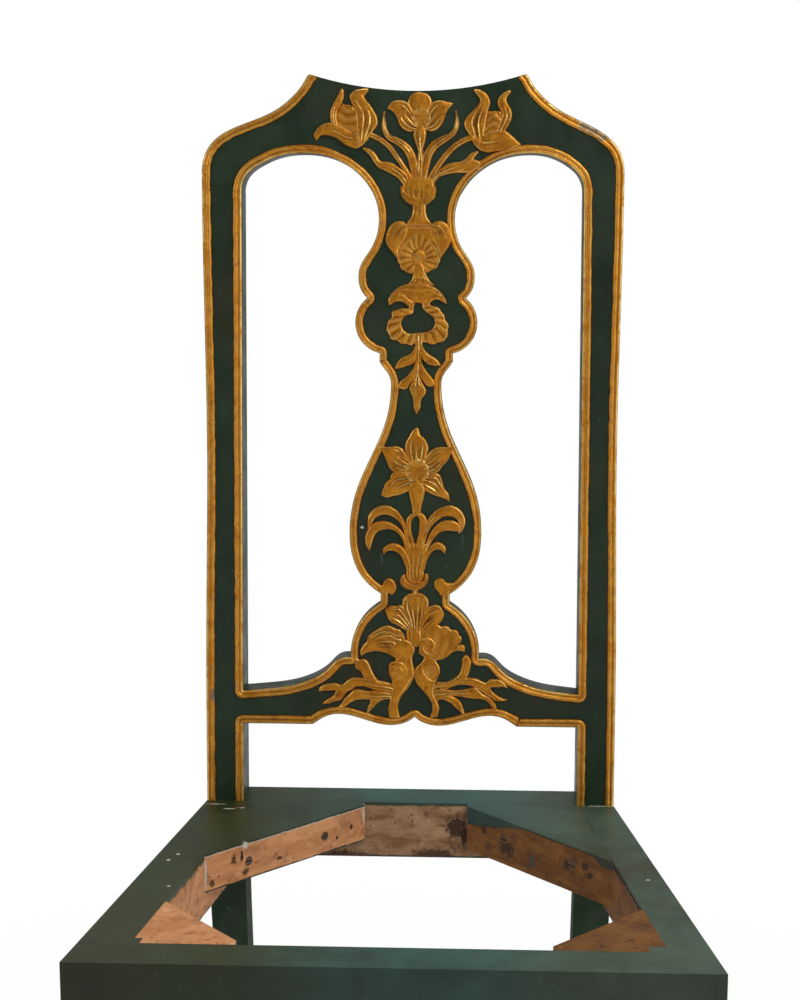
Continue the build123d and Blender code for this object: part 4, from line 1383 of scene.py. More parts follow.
# %% [markdown]
# ## Tulips and lily on the crest
#
# Two open tulips lean outwards, and a lily stands between them. Their stems and leaves run down
# into one bundle, held in a small bowl. Each petal has two edges, drawn from its base to its tip.
# Drawing the petals one by one takes longer than mirroring half a flower, but a hand carver never
# made both sides alike, and the eye sees that at once.

# %% Left tulip
carve(
    "left_tulip",
    leaf([(-66, 640), (-76, 650), (-77, 662), (-71, 676)],
         [(-52, 640), (-46, 652), (-52, 665), (-61, 674)],
         high=1.9, rings=4.5, groove=0.2, bow=0.8, rim=0.2),
    leaf([(-67, 638), (-76, 648), (-81.5, 660), (-82, 668), (-79, 676), (-75, 683), (-71.5, 690)],
         [(-60, 638), (-71, 650), (-75.5, 660), (-75.5, 668), (-72, 675), (-69.5, 681), (-69.5, 689)],
         high=3.2, lines=1, reach=0.8),
    leaf([(-55, 638), (-57, 655), (-58.5, 671), (-62, 677), (-63.5, 683), (-60, 687.5), (-53, 689.5),
          (-46.5, 690)],
         [(-48, 641), (-42, 650), (-37.5, 657), (-38, 664), (-42, 671), (-47, 678), (-50, 682), (-46, 688)],
         high=3.2, lines=2, reach=0.75),
    leaf([(-45, 650), (-53, 650), (-62, 648), (-70, 645)],
         [(-46, 643), (-51, 638), (-57, 634.5), (-64, 636)],
         high=3.0, rings=3, groove=0.2),
    leaf([(-62, 650), (-76, 657), (-83, 658.5), (-90, 656.5), (-95, 652), (-97.5, 646), (-95.5, 642)],
         [(-58, 637), (-66, 637), (-72, 641), (-76, 644), (-82, 646), (-90, 646.5), (-94, 643)],
         high=3.8, lines=1, reach=0.5),
)

# %% Lily
carve(
    "lily",
    leaf([(-0.5, 656), (-6, 668), (-8.5, 678), (-5, 684.5), (1, 686.6)],
         [(5, 656), (10, 668), (13.5, 678), (10, 684.5), (3, 686.6)],
         high=2.6, lines=2, reach=0.5),
    leaf([(2, 657), (-3, 668), (-9, 677), (-17, 679), (-24, 677.5), (-28, 672.5)],
         [(-1, 651), (-7, 650), (-12, 652), (-16, 656), (-19, 663), (-22, 668), (-27.5, 671.5)],
         high=3.0, lines=3, reach=0.65),
    leaf([(5, 657), (9, 668), (14, 677), (22, 679), (29, 677.5), (33.5, 676.5)],
         [(7, 652), (13, 650.5), (18, 652), (23, 657), (26, 663), (28, 669), (33, 675)],
         high=3.0, lines=3, reach=0.65),
    boss((4, 662.5), 8.6,
         [(0, 3.5), (0.6, 3.6), (0.9, 3.8), (1, 3.2)], ruffles=8, ruffle=0.16, squash=1.15, rim=0.5),
    leaf([(2.5, 626), (0, 636), (-3, 645), (-3, 650), (0.5, 655), (3, 657.5)],
         [(5, 626), (5.5, 633), (8, 643), (8.5, 650), (6.5, 655), (4, 657.5)],
         high=4.0, lines=1, reach=0.7),
)

# %% Right tulip
carve(
    "right_tulip",
    leaf([(62, 640), (63, 655), (67, 669)],
         [(74, 640), (80, 655), (79.5, 669)],
         high=2.0, rings=4, groove=0.2, bow=-0.9, rim=0.2),
    leaf([(55, 638), (47.5, 650), (44.5, 656), (47, 664), (53, 670), (58, 676), (59, 680), (56, 684.5),
          (53, 688)],
         [(62, 638), (64, 655), (66.5, 669), (68.5, 677), (66, 684), (60, 688.3), (54, 689.5)],
         high=3.2, lines=2, reach=0.75),
    leaf([(70, 640), (76, 655), (80, 667), (77, 672), (75.7, 677), (77.5, 682.5), (82, 686.5),
          (86.5, 688.8)],
         [(78, 640), (83, 651), (87, 658), (89, 665), (88, 671), (84.5, 677), (84, 681), (88, 687)],
         high=3.2, lines=1, reach=0.7),
    leaf([(49, 649), (58, 646), (68, 645)],
         [(51, 643), (55, 637), (61, 632.5), (68, 631.5)],
         high=3.0, rings=3, groove=0.2),
    leaf([(62, 647), (74, 651), (82, 651.5), (88, 647.5), (93, 643), (97.5, 639)],
         [(59, 633), (66, 631), (75, 632), (85, 633.5), (93, 635.5), (97, 637.5)],
         high=3.8, lines=1, reach=0.5),
)

# %% Stems and leaves of the crest
carve(
    "crest_stems",
    stroke([(-44, 647.5), (-35, 643), (-27, 637), (-20, 628), (-13, 618), (-5, 606)], (4.6, 4.2, 4.2),
           high=2.4),
    stroke([(-31, 669), (-31.5, 660), (-30.5, 652), (-27, 645.5), (-20, 642), (-12, 637), (-6, 629),
            (-3, 619), (-1, 606)], (1.2, 4, 5, 7, 8, 8, 6), high=2.9, lines=1, reach=0.7),
    stroke([(36.3, 670), (37.5, 661), (36.5, 653), (32, 647), (25, 643), (17, 638), (11, 630), (8, 620),
            (6, 606)], (1.2, 4, 5.2, 7.5, 8, 8, 6), high=2.9, lines=1, reach=0.7),
    stroke([(52, 645), (44, 642), (36, 637), (28, 629), (21, 620), (12, 606)], (5, 5, 4.8), high=2.4),
    stroke([(3.5, 632), (3.3, 620), (2.5, 604)], (4.6, 7, 9), high=2.7, lines=2, reach=1),
    leaf([(-7, 604), (-10, 611), (-15, 615.5), (-19.5, 618.5), (-25, 621.5), (-35, 623.3), (-37.5, 627),
          (-40.5, 631), (-45, 634), (-51, 635.5)],
         [(-13, 601), (-18, 607), (-24, 610.7), (-30, 613.8), (-36, 616.5), (-40.5, 621.5), (-43.5, 626.5),
          (-47, 630.5), (-51, 634)],
         high=2.7, lines=1, reach=0.4),
    leaf([(10, 604), (14, 608.5), (19.5, 613), (24, 616.7), (30, 620.3), (37, 621.8), (43, 622.5),
          (47, 626), (51, 630), (57, 632.3)],
         [(16, 601), (20, 607), (27, 610), (33, 611.3), (40, 612.5), (46, 615), (51, 621), (55, 627.5),
          (58, 631)],
         high=2.7, lines=1, reach=0.5),
    leaf([(40, 622), (46, 624.5), (52, 624.8), (60, 622.5)],
         [(38, 612), (45, 612), (51, 612.5), (59, 617)],
         high=2.4, base=1, tip=1),
)

# %% Bundle of stems in its bowl
carve(
    "flower_bowl",
    leaf([(-4, 583), (-12, 591), (-13, 599), (-11.5, 607)],
         [(7, 583), (15.5, 591), (16.5, 599), (15.5, 607)],
         high=2.8, lines=5, reach=0.8, ribs=0.45, tip=0.9, rim=0.3),
    leaf([(-13.2, 599), (-10.5, 594), (-5, 590.8), (1, 589.3), (7, 589.8), (11, 592.5), (14, 596),
          (15.8, 600)],
         [(-15.3, 599), (-14.8, 591.5), (-12.3, 587), (-8, 583.3), (-3, 581), (2, 580.3), (8.5, 581.3),
          (12, 583.8), (16.5, 587.8), (18, 593), (18, 599)],
         high=3.8, shoulder=0.5),
)

# %% [markdown]
# ## The urn, the ribbon and the leaf drop
#
# Below the bowl the stem flares into an urn with two lobes and a shell between them. Under it a
# small scrolled hood holds a ribbon ring, from which a pair of leaves hangs. The shell is a leaf
# turned on its side: one edge is the rim, the other a tiny arc at the hinge, so its rings
# become rays.

# %% Urn and shell
carve(
    "urn",
    leaf([(-3.7, 583), (-3.8, 575), (-5.2, 570.5), (-8, 566.5), (-10.5, 562)],
         [(8.5, 583), (8.6, 575), (10, 570), (12.5, 566.3), (15.5, 562)],
         high=2.7, lines=2, reach=0.9, ribs=0.3, base=1, crown=0.7),
    leaf([(-10, 562), (-20, 557), (-22, 545), (-17, 530), (-9, 518.5)],
         [(15, 562), (25, 557), (27, 545), (22, 531), (11, 518.5)],
         high=2.2, rim=0),
    leaf([(-9.5, 564), (-14, 566.6), (-20, 566), (-24.5, 562.5), (-27.5, 557), (-29.2, 551), (-28.8, 546),
          (-26, 541), (-21.5, 535.8), (-17.5, 530)],
         [(-8, 560), (-9.5, 553), (-13.5, 546), (-17, 539), (-16.5, 531)],
         high=3.0, lines=2, reach=0.6, ribs=0.45, crown=0.9),
    leaf([(14, 564), (18, 566.3), (24, 566.7), (29, 563.8), (32, 558), (33.2, 550.5), (31.5, 544.5),
          (27.5, 538.5), (23, 532)],
         [(12.5, 560), (13.5, 553), (17.5, 546), (21, 539), (21.8, 532)],
         high=3.0, lines=2, reach=0.6, ribs=0.45, crown=0.9),
    leaf([(-4, 517), (-11, 519), (-15.5, 523), (-17.8, 529), (-17.3, 536), (-14, 543), (-8, 549.5),
          (1, 556.5), (9, 552.5), (16, 545), (21.3, 538.5), (22.4, 531), (20.5, 524), (15, 520.3), (8, 518)],
         [(-1, 524), (-3.2, 528), (-4.4, 532.5), (-3.6, 537), (-1, 540), (2, 541), (5, 540), (7.2, 537),
          (7.8, 532.5), (6.6, 528), (4.6, 524)],
         high=2.7, rings=14, groove=0.25, scallop=1.5, crown=0.5, shoulder=0.8),
    boss((1.7, 533), 6.8, [(0, 3.9), (0.5, 3.75), (0.85, 3.4), (1, 2.9)]),
    stroke([(-10.5, 560.8), (2, 559.8), (14.5, 560.8)], (2.6, 3.4, 2.6), high=3.3),
    leaf([(-1.5, 512), (-3.3, 518), (-3.2, 524), (0, 528)],
         [(6, 512), (8, 518), (7.2, 524), (4.8, 528)],
         high=3.9, crown=0.7, tip=0.95),
    leaf([(-3.5, 520), (-3.3, 515), (-5, 511), (-9.5, 506)],
         [(8, 520), (9.5, 515.5), (12.3, 511), (16.5, 506.5)],
         high=2.8, lines=3, reach=0.9, ribs=0.5),
)

# %% Hood and ribbon ring
carve(
    "ribbon",
    leaf([(-26, 490), (-22, 497), (-16, 502), (-8, 504), (2, 504), (10, 503.5), (18, 501), (24, 496),
          (28.5, 489.5)],
         [(-24, 489), (-17, 493), (-10, 490.5), (-4, 489), (2, 489.8), (7, 489), (12, 491.5), (19, 494),
          (28, 489)],
         high=2.5, rim=0),
    leaf([(-26.5, 493), (-23.5, 498.3), (-19.5, 502.3), (-14.5, 505.7), (-7, 507.8), (2, 508.2), (9, 507.5),
          (15.5, 505.3), (21, 501.8), (25, 497.5), (28, 492)],
         [(-25, 492.5), (-20.5, 498), (-15, 500.4), (-8, 501), (-2, 499.7), (3, 498.8), (8, 500),
          (14, 500.8), (20.5, 499), (26.5, 492)],
         high=3.5, crown=0.5),
    leaf([(-3, 491), (-8.5, 494.7), (-12.5, 498), (-18, 498.8), (-23.5, 497), (-26.8, 493), (-26.5, 488)],
         [(-5, 484.5), (-8.5, 487.2), (-12.5, 490.3), (-17.5, 491), (-22, 489.3), (-25, 487.3)],
         high=3.8),
    leaf([(8, 490), (10.5, 495), (14.5, 498.7), (20, 499.5), (25, 497), (27.8, 493), (29, 489.3)],
         [(11, 485.5), (13.3, 489.7), (16.5, 492.2), (21, 492.7), (25, 490.8), (28.4, 488.8)],
         high=3.8),
    stroke([(-4, 491.5), (-1, 494.5), (1.5, 493.3), (4, 495.6), (7, 491.5)], (2, 2.6, 2.4, 2.6, 1.6),
           high=3.7),
    leaf([(-2.5, 492), (-8, 485.5), (-13, 484.5), (-18.5, 483.7), (-23, 481), (-24.5, 476), (-27, 471.5),
          (-29, 466.5), (-27.3, 461), (-25.3, 456), (-19, 453), (-12, 450), (-5, 449), (0, 452)],
         [(-1.5, 488), (-2.5, 484), (-3.5, 479.5), (-8.5, 478), (-12, 475.5), (-14.3, 471), (-13.8, 466.5),
          (-11, 462.5), (-6.5, 460.5), (1, 461)],
         high=2.8, rings=8, groove=0.28, scallop=1.5),
    leaf([(9, 492), (13, 488), (18, 486.7), (22.5, 484), (26, 479.5), (28, 474.5), (31, 468), (30.5, 462),
          (29.2, 455.5), (24, 452.3), (19, 450.3), (13.5, 450.3), (8, 452), (2, 453)],
         [(5.5, 490), (6, 485), (9, 481.5), (12.5, 479), (16.5, 476), (17.8, 472), (17.2, 467.5),
          (14, 463.8), (9, 461.8), (2, 461)],
         high=2.8, rings=8, groove=0.28, scallop=1.3),
)

# %% Leaf drop
carve(
    "leaf_drop",
    stroke([(2, 460), (2.5, 447), (2, 432), (1.5, 416)], (8, 5.5, 4.4), high=2.7, lines=1, reach=1),
    leaf([(0, 456), (-1.2, 448.5), (-3, 444), (-6.5, 440.3), (-11, 438.7), (-15, 436.5), (-18, 432.3),
          (-20.3, 427.5)],
         [(1, 441), (-0.5, 434.5), (-4, 431.2), (-9, 429.5), (-14, 427.8), (-19.8, 426.5)],
         high=3.0),
    leaf([(3.5, 456), (6, 448.5), (9, 443.7), (13, 440.2), (17, 438), (20.5, 435.3), (23.5, 431)],
         [(4, 442), (7, 435.5), (11, 431.8), (16, 430), (23, 429.8)],
         high=3.0),
    leaf([(1, 439), (-1, 432), (-3.5, 426), (-7, 421.3), (-10.5, 418), (-14, 415.7), (-16.8, 411.5),
          (-17.3, 409)],
         [(1.5, 421), (-2, 416.5), (-6, 412), (-8.3, 408.5), (-11, 407), (-14.5, 407.5), (-16.8, 408.3)],
         high=2.9),
    leaf([(3.5, 439), (5.5, 432.5), (8.3, 427), (12, 422), (15, 418.5), (17.5, 415.5), (18.8, 412)],
         [(3, 421), (6, 416.3), (9, 412.3), (12, 410.2), (15.5, 410), (18.3, 411)],
         high=2.9),
    leaf([(1, 425), (-1.5, 418), (-4.5, 412), (-6.2, 408), (-4.8, 403.7), (-3, 400), (-2.4, 394),
          (-1.6, 388), (0.3, 383.8)],
         [(2.5, 425), (4.7, 416.5), (7.3, 411.3), (9.6, 406.7), (8.8, 402.3), (6, 398.7), (4.6, 394.5),
          (4.2, 389.5), (1.2, 383.8)],
         high=3.4, lines=2, reach=0.55),
)

# %% [markdown]
# ## The daffodil on its stem
#
# The middle of the splat holds a daffodil with five petals and a ruffled trumpet. Its stem opens
# into a loop, and six arching leaves spring from below the loop.

# %% Daffodil
carve(
    "daffodil",
    leaf([(-6, 334), (-9.5, 345), (-10.3, 352), (-8.7, 357.5), (-6, 362), (-4.4, 365.3), (-2, 368.6),
          (0.7, 370.5)],
         [(8, 334), (11, 345), (12, 351), (10.8, 356), (8, 360.3), (5, 362.7), (3.6, 364.7), (3.2, 367.8),
          (1.6, 370.5)],
         high=2.8, lines=3, reach=0.6),
    leaf([(-2, 338), (-6, 341), (-10, 346), (-13.5, 350.5), (-18.5, 352.3), (-25, 351.6), (-30, 351.7),
          (-34.5, 353.8)],
         [(-4, 327), (-11, 326), (-17, 326.5), (-22, 328.2), (-25.5, 332), (-27.5, 337), (-30, 342.5),
          (-32.5, 347.5), (-36.3, 351)],
         high=2.8, lines=4, reach=0.62),
    leaf([(4, 339), (10, 342.5), (14, 347.7), (19, 350.8), (25, 352), (31, 352), (35, 353.8), (38, 353.3)],
         [(6, 327), (12, 325.8), (18, 326.3), (22.3, 328.7), (25.3, 332.7), (28.5, 336.3), (31.7, 340.5),
          (33.5, 345), (38.3, 350)],
         high=2.8, lines=4, reach=0.6),
    leaf([(-3, 330), (-10, 328), (-16, 327.2), (-20.7, 327.2), (-23.5, 324.5), (-25, 320), (-28.7, 316.7),
          (-30.7, 312), (-32.8, 306)],
         [(1, 318), (-5, 310.5), (-9.5, 307.8), (-15, 305.5), (-22, 304.2), (-28, 302.6), (-32, 304)],
         high=2.7, lines=2, reach=0.7),
    leaf([(7, 330), (13, 325.7), (19, 326.7), (23, 325), (25.3, 320), (27.2, 313.7), (29, 310),
          (31.5, 307.2), (33, 302.5)],
         [(3, 318), (9.5, 310), (16, 306.3), (22, 304), (28, 302.2), (32.5, 299.5)],
         high=2.7, lines=3, reach=0.75),
    boss((1.3, 329), 11.6, [(0, 3.5), (0.6, 3.5), (0.88, 3.8), (1, 3.0)], ruffles=10, ruffle=0.14, rim=0.9),
    stroke([(-1.5, 319), (-2.4, 326), (-1, 333)], (1.8, 1.6, 0.8), high=3.9, rim=0.4),
    stroke([(4, 319), (3.6, 325), (4.5, 331)], (1.6, 1.4, 0.8), high=3.8, rim=0.4),
    leaf([(-2.5, 286), (-3.7, 295), (-5.5, 303), (-6.4, 310), (-5, 316.3), (0.3, 320)],
         [(4.7, 286), (6, 295), (8, 303), (9, 310), (7.3, 316.3), (2, 320)],
         high=4.1, crown=0.9, tip=0.95),
)

# %% Loop and arching leaves
carve(
    "daffodil_stem",
    leaf([(1.5, 289.5), (-4, 287), (-8.3, 281.7), (-8.8, 276), (-7.5, 268), (-5, 260), (-3, 250)],
         [(1.5, 285.5), (-2.8, 282), (-4.3, 275), (-3.4, 267.5), (-1.4, 261.5), (0.5, 250)],
         high=3.0),
    leaf([(1.5, 289.5), (7, 287.3), (10.8, 282), (11.3, 276), (9.7, 269), (8.5, 262), (8, 250)],
         [(1.5, 285.7), (3.6, 282.5), (4.1, 275), (3.3, 267), (1.5, 260.5), (1, 250)],
         high=3.0),
    leaf([(-1, 248), (-6, 262), (-9, 275), (-13, 284), (-19, 291), (-27, 294.8), (-36, 293.6), (-42, 289.5),
          (-45.6, 283.5), (-46.2, 272)],
         [(-6, 248), (-9.5, 262), (-12.5, 274), (-16.5, 280), (-22, 284), (-29, 286), (-35.5, 284.6),
          (-40, 281), (-43, 273)],
         high=2.7, crown=0.7),
    leaf([(-5, 246), (-9, 263), (-14, 271.3), (-20, 276.2), (-27, 279.2), (-34, 279.5), (-40, 277.5),
          (-45.5, 271.5), (-48.5, 264), (-48, 257), (-45, 250.7)],
         [(-9, 244), (-11, 257), (-13.5, 264), (-18, 269), (-24, 271.7), (-31, 271.3), (-36, 269.5),
          (-39.5, 265.5), (-41.3, 260), (-43.8, 251)],
         high=3.1, crown=0.7),
    leaf([(4, 250), (7.5, 268), (12, 281), (18.5, 289), (26, 293.7), (35, 295.2), (42, 292), (46.7, 286),
          (48.2, 279.5), (46.5, 273), (42.5, 268)],
         [(8, 250), (11, 264), (15, 274), (21, 280.5), (28, 284.6), (34, 284.8), (39, 283), (41.5, 279.5),
          (42.3, 274.5), (41.3, 269)],
         high=2.7, lines=1, reach=0.5),
    leaf([(8, 250), (11.5, 261), (15, 269), (20.5, 276), (27, 280.3), (34, 281), (39.5, 279.5), (43, 276),
          (44.5, 272)],
         [(12, 248), (15, 258), (19, 264.5), (25, 269.5), (32, 271), (38, 270.3), (43, 270.5)],
         high=3.1, lines=1, reach=0.5),
    leaf([(-3, 236), (-8, 249), (-13, 255.5), (-20.5, 258.3), (-27, 256.5), (-31.3, 252), (-31, 247.7)],
         [(-8, 232), (-11.5, 241), (-15, 247.3), (-21, 250.5), (-26.5, 250.3), (-30, 248)],
         high=3.6, crown=0.6),
    leaf([(5, 236), (10, 247), (13.5, 253.5), (17.5, 258.3), (22, 259.7), (26.5, 258), (29.7, 253.5),
          (28.8, 248.6)],
         [(9, 232), (11.5, 241.5), (14.5, 247.7), (18.5, 251.7), (24, 252), (27.7, 249)],
         high=3.6, crown=0.6),
    leaf([(-8, 226), (-9.5, 238), (-11, 248), (-8, 258)],
         [(7, 226), (10, 238), (13, 248), (11, 258)],
         high=2.9, lines=4, reach=0.8, ribs=0.5, tip=0.7, rim=0.3),
)

# %% Collar at the waist
carve(
    "waist_collar",
    leaf([(-8, 232), (-8.5, 226), (-5, 218.5)],
         [(7.5, 232), (8.5, 226), (5, 218.5)],
         high=2.8, lines=4, reach=0.9, ribs=0.5, tip=0.95, rim=0.3),
    leaf([(-10, 228.3), (-9, 224), (-5, 219.7), (0, 218.3), (5, 219.5), (8.5, 223), (9.5, 229)],
         [(-12.5, 227), (-14.8, 221.5), (-13.3, 217), (-9, 213.7), (-3, 212.2), (3, 212.5), (7.5, 214.3),
          (11, 218), (13, 223), (12.5, 228)],
         high=3.8, shoulder=0.5, crown=0.5),
    stroke([(0.3, 214.5), (0, 210.5), (0.5, 206.5)], (7, 5.2, 8), high=2.8, lines=1, reach=1, tip=1),
    leaf([(-35, 214.5), (-31.5, 217.5), (-29, 222), (-25, 224), (-20.7, 221.7), (-18.3, 216.7),
          (-18.7, 212), (-22, 207.5)],
         [(-34, 209.5), (-30, 209), (-27, 209), (-25, 209), (-23, 207.3)],
         high=3.2, crown=0.9, base=1),
    leaf([(41, 219.7), (34, 219.8), (29.7, 220.7), (27, 223.5), (23.5, 224.4), (19.9, 222.2), (18.5, 218.5),
          (19.5, 214.5), (22, 212.2), (24, 208)],
         [(37, 214.5), (33.5, 211.5), (31, 208.5), (28, 206.8), (25.5, 207.3)],
         high=3.2, crown=0.9, base=1),
)

# %% [markdown]
# ## The foot of the splat
#
# An iris opens over two pairs of scrolls. From the lower pair, leaves like straps run out along
# the cross rail, each split into two curling ends. A scroll is built in three layers: a broad
# body, a disc on top of it, and a fine strand that starts to wind round the disc.

# %% Iris
carve(
    "iris",
    leaf([(-10, 168), (-15, 173.7), (-19, 174.5), (-22, 176), (-26, 177.3), (-31, 176.2), (-36, 173.5),
          (-41, 170.2), (-45.3, 166), (-47, 161), (-50.5, 157), (-53.2, 151.5), (-53, 147.5)],
         [(-8, 146), (-13, 143.5), (-18, 144.5), (-22, 147), (-27, 149.7), (-33, 151.3), (-40, 151.7),
          (-47, 150), (-52, 147)],
         high=3.0, lines=5, reach=0.68),
    leaf([(6, 172), (12, 176), (17, 178), (21.5, 179.3), (27, 178), (32, 177), (37, 174.5), (42, 172),
          (45, 168), (45.3, 163.5), (43.5, 160.8), (46.5, 159.8), (49, 156.5), (48.7, 152.5)],
         [(4, 150), (8, 147), (14, 144.5), (20, 143.3), (25, 144), (29, 145.5), (33, 148), (36, 150.7),
          (40, 152.7), (44, 153), (48, 151.8)],
         high=3.0, rings=6, groove=0.1, bow=-0.4, scallop=1.8, crown=0.7),
    leaf([(-2, 175), (-6, 186), (-9.5, 193), (-13.5, 197.5), (-18.5, 196.5), (-24, 196.7), (-28.8, 192.5)],
         [(-5, 171), (-12, 174.5), (-18, 178.3), (-22, 180), (-25.3, 183.3), (-27.5, 187.5), (-28.6, 191.5)],
         high=2.8, lines=3, reach=0.85),
    leaf([(4, 175), (8, 187), (12, 194.7), (15.5, 197.2), (20.5, 198.2), (25, 196), (28, 190.5)],
         [(6, 170), (12, 173.5), (18, 177), (23.3, 180), (26.5, 183), (28.3, 188.5)],
         high=2.8, lines=2, reach=0.8),
    leaf([(-3, 171), (-7.5, 184), (-12, 194), (-12.2, 201), (-9.5, 206), (-4, 209)],
         [(5, 171), (9, 184), (12, 193.5), (13, 200.5), (11, 206), (5, 209)],
         high=2.9, lines=4, reach=0.8),
    leaf([(-12.4, 197), (-10.8, 204), (-6, 208.5), (1, 209.8), (7.5, 208.6), (11.8, 204.5), (13.2, 197.5)],
         [(-10, 197), (-8.3, 201.3), (-4, 203.8), (1, 204.3), (6, 203.8), (9.7, 201.3), (11, 197.5)],
         high=3.5),
    leaf([(-7, 160), (-8, 170), (-5, 178)],
         [(8, 160), (9, 170), (7, 178)],
         high=2.9, rim=0, lines=3, reach=1),
    leaf([(-1, 157), (-4.3, 163), (-4.7, 169), (-2.8, 172.5), (0.7, 174)],
         [(3.5, 157), (6.3, 163), (6.6, 168.5), (4.7, 172.3), (1.5, 174)],
         high=4.2, crown=0.8),
)

# %% Scrolls
carve(
    "scrolls",
    leaf([(-13, 150), (-17, 145), (-21, 140), (-24.4, 135), (-25.2, 130), (-23.3, 126), (-21.5, 120),
          (-22.7, 110), (-24, 102), (-25.6, 94), (-24.4, 86)],
         [(-2, 150), (-2.6, 145), (-3, 141), (-0.6, 135), (0, 129), (-2.5, 122.6), (-7.5, 114),
          (-12.5, 108), (-15.2, 102), (-16.3, 95.8), (-14.5, 86)],
         high=3.1, crown=0.6, base=0.7, rim=0.8, shoulder=0.7),
    leaf([(8.5, 150), (8.7, 144), (5, 139.5), (0.6, 134.5), (0, 129), (0.5, 124), (3, 119), (8.8, 112.3),
          (13.8, 106.4), (17, 100), (17.5, 94), (15.4, 86.5)],
         [(20, 149), (20.5, 143), (23.5, 138), (24.6, 132.5), (23, 127.5), (20.5, 122), (18.5, 116),
          (18.5, 110.5), (20.5, 105.5), (22.7, 100.8), (24, 95.5), (22.5, 87.5)],
         high=3.1, crown=0.6, base=0.7, rim=0.8, shoulder=0.7),
    leaf([(-22, 158), (-17, 162), (-11, 164), (-6, 162.8), (-2, 159), (0, 154), (-1.3, 149), (-4, 144.5)],
         [(-24, 150), (-20, 148), (-17, 147), (-15, 146.3), (-13, 145)],
         high=3.5, base=0.75, tip=0.9, crown=0.6),
    boss((12.7, 157), 8.2, [(0, 3.5), (0.8, 3.3), (1, 2.7)]),
    thread([(5.5, 163.3), (9, 165), (13.5, 164.8), (17.5, 162.3), (19.4, 158.5), (18.6, 155), (16.7, 152.6)],
           (1, 2.2, 2.6, 2.6, 2.4, 1.8, 1), 4.5),
    thread([(8, 158.5), (8.5, 153.5), (12.2, 150), (18, 150), (24, 154)], (1.2, 2.2, 2.4, 2, 1), 4.4),
    boss((-15.8, 131.3), 9.2, [(0, 4.3), (0.6, 4.15), (0.85, 3.7), (1, 2.8)]),
    thread([(-19, 133), (-17.3, 135), (-14.8, 135.6), (-12.8, 133.9), (-12, 130.5)],
           (0.8, 2.2, 2.6, 2.4, 1), 5.1),
    thread([(-24.4, 134.5), (-23.6, 139.2), (-19.5, 141.2), (-14, 140.6), (-9, 137), (-7, 131),
            (-8.6, 124.5)], (1, 1.8, 2, 2, 2, 1.8, 1), 3.9),
    thread([(-4, 149), (-3.4, 141), (-2.2, 134), (-2.4, 128), (-5.5, 121.5), (-11, 113), (-16, 105),
            (-18, 96)], (1.4, 2.4, 2.6, 2.4, 2.2, 2, 1.6, 1), 4.5),
    boss((14.3, 131.7), 9.3, [(0, 4.1), (0.7, 4.0), (1, 3.2)]),
    thread([(7.8, 139.5), (7.5, 134), (9.2, 129.5), (11.9, 126), (15.5, 123.8), (20, 123.4)],
           (1.2, 2.4, 2.2, 2, 1), 4.8),
)

# %% Horns and strap leaves
carve(
    "left_straps",
    leaf([(-19.4, 121.4), (-24, 120), (-29.4, 119.6), (-33.8, 121.5), (-37.5, 125), (-40.6, 130),
          (-43.8, 137.6), (-46.3, 142), (-50, 144), (-54, 143)],
         [(-30, 112), (-38, 117), (-44, 122), (-49, 124.5), (-51, 128), (-52.8, 131.6), (-57, 134),
          (-58.3, 137.5), (-58, 140.5)],
         high=2.9, crown=0.8, base=0.8),
    leaf([(-53, 141.5), (-56, 144.5), (-60, 145)],
         [(-56, 139), (-58.5, 140), (-62, 141)],
         high=2.4, base=1, tip=1),
    leaf([(-19, 119), (-25, 120.5), (-36, 123), (-46, 124.7), (-52.5, 125), (-60, 125.2), (-65, 122.8),
          (-68.8, 119.2), (-72.5, 117)],
         [(-19, 109.5), (-28, 111.5), (-38.4, 112.8), (-46, 116), (-51, 117), (-56.5, 116.5), (-61, 114.7),
          (-67, 112.7), (-72, 111.5)],
         high=3.0, lines=1, reach=0.5, base=0.8),
    leaf([(-60, 122), (-68, 118.6), (-73, 118), (-76.5, 119.3), (-83.8, 119), (-90, 117.3), (-93, 114.5),
          (-93.8, 111.5)],
         [(-60, 114.5), (-68, 112.5), (-74, 112), (-80, 112.2), (-86, 111.8), (-92.5, 111)],
         high=3.0, base=1),
    leaf([(-62, 120), (-72, 114.5), (-77.5, 111), (-79, 107.3), (-82.5, 105), (-86, 102.6), (-90, 99)],
         [(-60, 114), (-66.3, 110.8), (-69.4, 106.4), (-73, 102.7), (-79.4, 100.8), (-84, 98.9),
          (-89, 98.5)],
         high=3.2, base=0.95),
    leaf([(-20, 108), (-25, 110.5), (-38.4, 112.4), (-46.9, 112.2), (-53.8, 113.4), (-58.8, 113.4),
          (-62.5, 110), (-65.5, 107), (-69, 103.9), (-71.5, 98.9), (-74.5, 95.6)],
         [(-21, 102.5), (-25.6, 104), (-30.6, 103.3), (-36, 101.8), (-43.8, 103.2), (-50, 103.8),
          (-57.5, 102.8), (-62.5, 100.5), (-66.3, 97.4), (-71, 94.3)],
         high=3.2, lines=1, reach=0.5, base=0.75),
    leaf([(-42, 105), (-43.8, 100), (-45.6, 95.8), (-46.6, 90)],
         [(-31, 104), (-35, 101), (-40, 95.8), (-45.8, 89.8)],
         high=2.9),
)
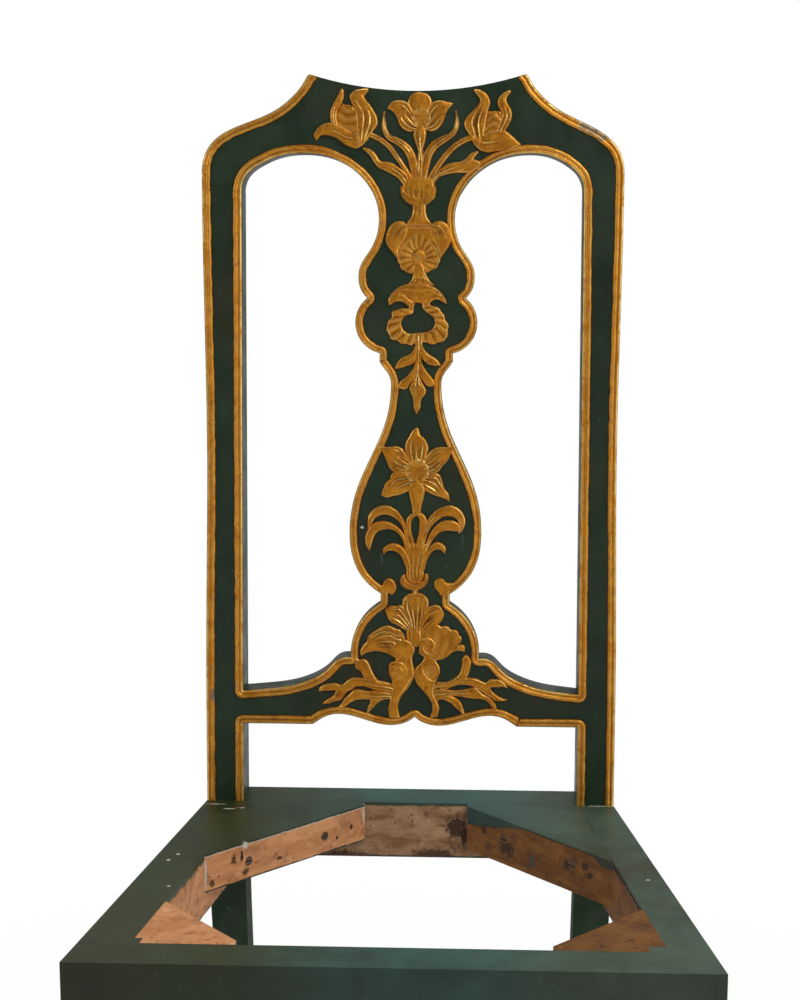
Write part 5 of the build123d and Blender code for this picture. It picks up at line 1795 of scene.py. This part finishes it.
carve(
    "right_straps",
    leaf([(20.6, 122), (25, 121.8), (30, 121.9), (35, 123.5), (40, 126.6), (43, 129.5), (45, 133.9),
          (46, 139.5), (46.3, 145), (49, 148.9)],
         [(26, 113), (36, 117), (44, 120.3), (50, 125.5), (53, 131.4), (54.4, 137), (55, 142.6),
          (53, 146.6), (50.6, 149)],
         high=2.9, crown=0.8, base=0.8),
    leaf([(17.5, 119.5), (28, 120.5), (40, 124), (50.6, 126), (55, 126.5), (61.3, 125.2), (65.6, 123),
          (70, 121.5), (72.7, 118.9), (74.6, 114.5), (78, 111), (82.5, 107.8), (86, 106), (90.6, 105.4)],
         [(17.5, 114), (27.5, 117), (35.6, 117.2), (42, 119), (48.8, 119.5), (56, 118.3), (62, 115.5),
          (66, 112.5), (70, 109.8), (73.8, 107.4), (78.8, 103.7), (83, 103.4), (87.5, 103.7), (90, 104.6)],
         high=3.0, lines=1, reach=0.4, base=0.8),
    leaf([(64, 121), (69, 121.5), (73, 124.8), (78.8, 125.2), (83.8, 124.7), (87.3, 122), (90.7, 117)],
         [(64, 115), (70, 116), (75, 117.2), (81.3, 117.5), (87, 117.7), (90, 116.4)],
         high=2.9, base=1),
    leaf([(17, 113.5), (24.4, 115), (32, 114.5), (40, 113.8), (48.8, 114.7), (55.6, 116.6), (60, 117.3),
          (63.5, 113.5), (67.5, 110.3), (71.9, 108.2), (75.6, 104.5), (78.6, 100.8), (80.2, 95.2)],
         [(19, 105), (25, 105.3), (32, 107.5), (40, 108.2), (48.8, 107), (57.5, 105.8), (67.5, 104.8),
          (71.9, 102), (75, 98.2), (77.3, 94.8)],
         high=3.2, lines=1, reach=0.5, base=0.75),
    leaf([(20, 108), (30, 109.3), (37.5, 107.8), (42.5, 104.5), (45.7, 100.8), (47.6, 95), (48.8, 90.5)],
         [(20, 100), (25, 104.5), (30, 103.7), (35, 101.2), (39.4, 96.8), (43.6, 93.8), (47, 89.5)],
         high=2.9),
)

# %% Close
print("gilded pieces:", gilding.users)
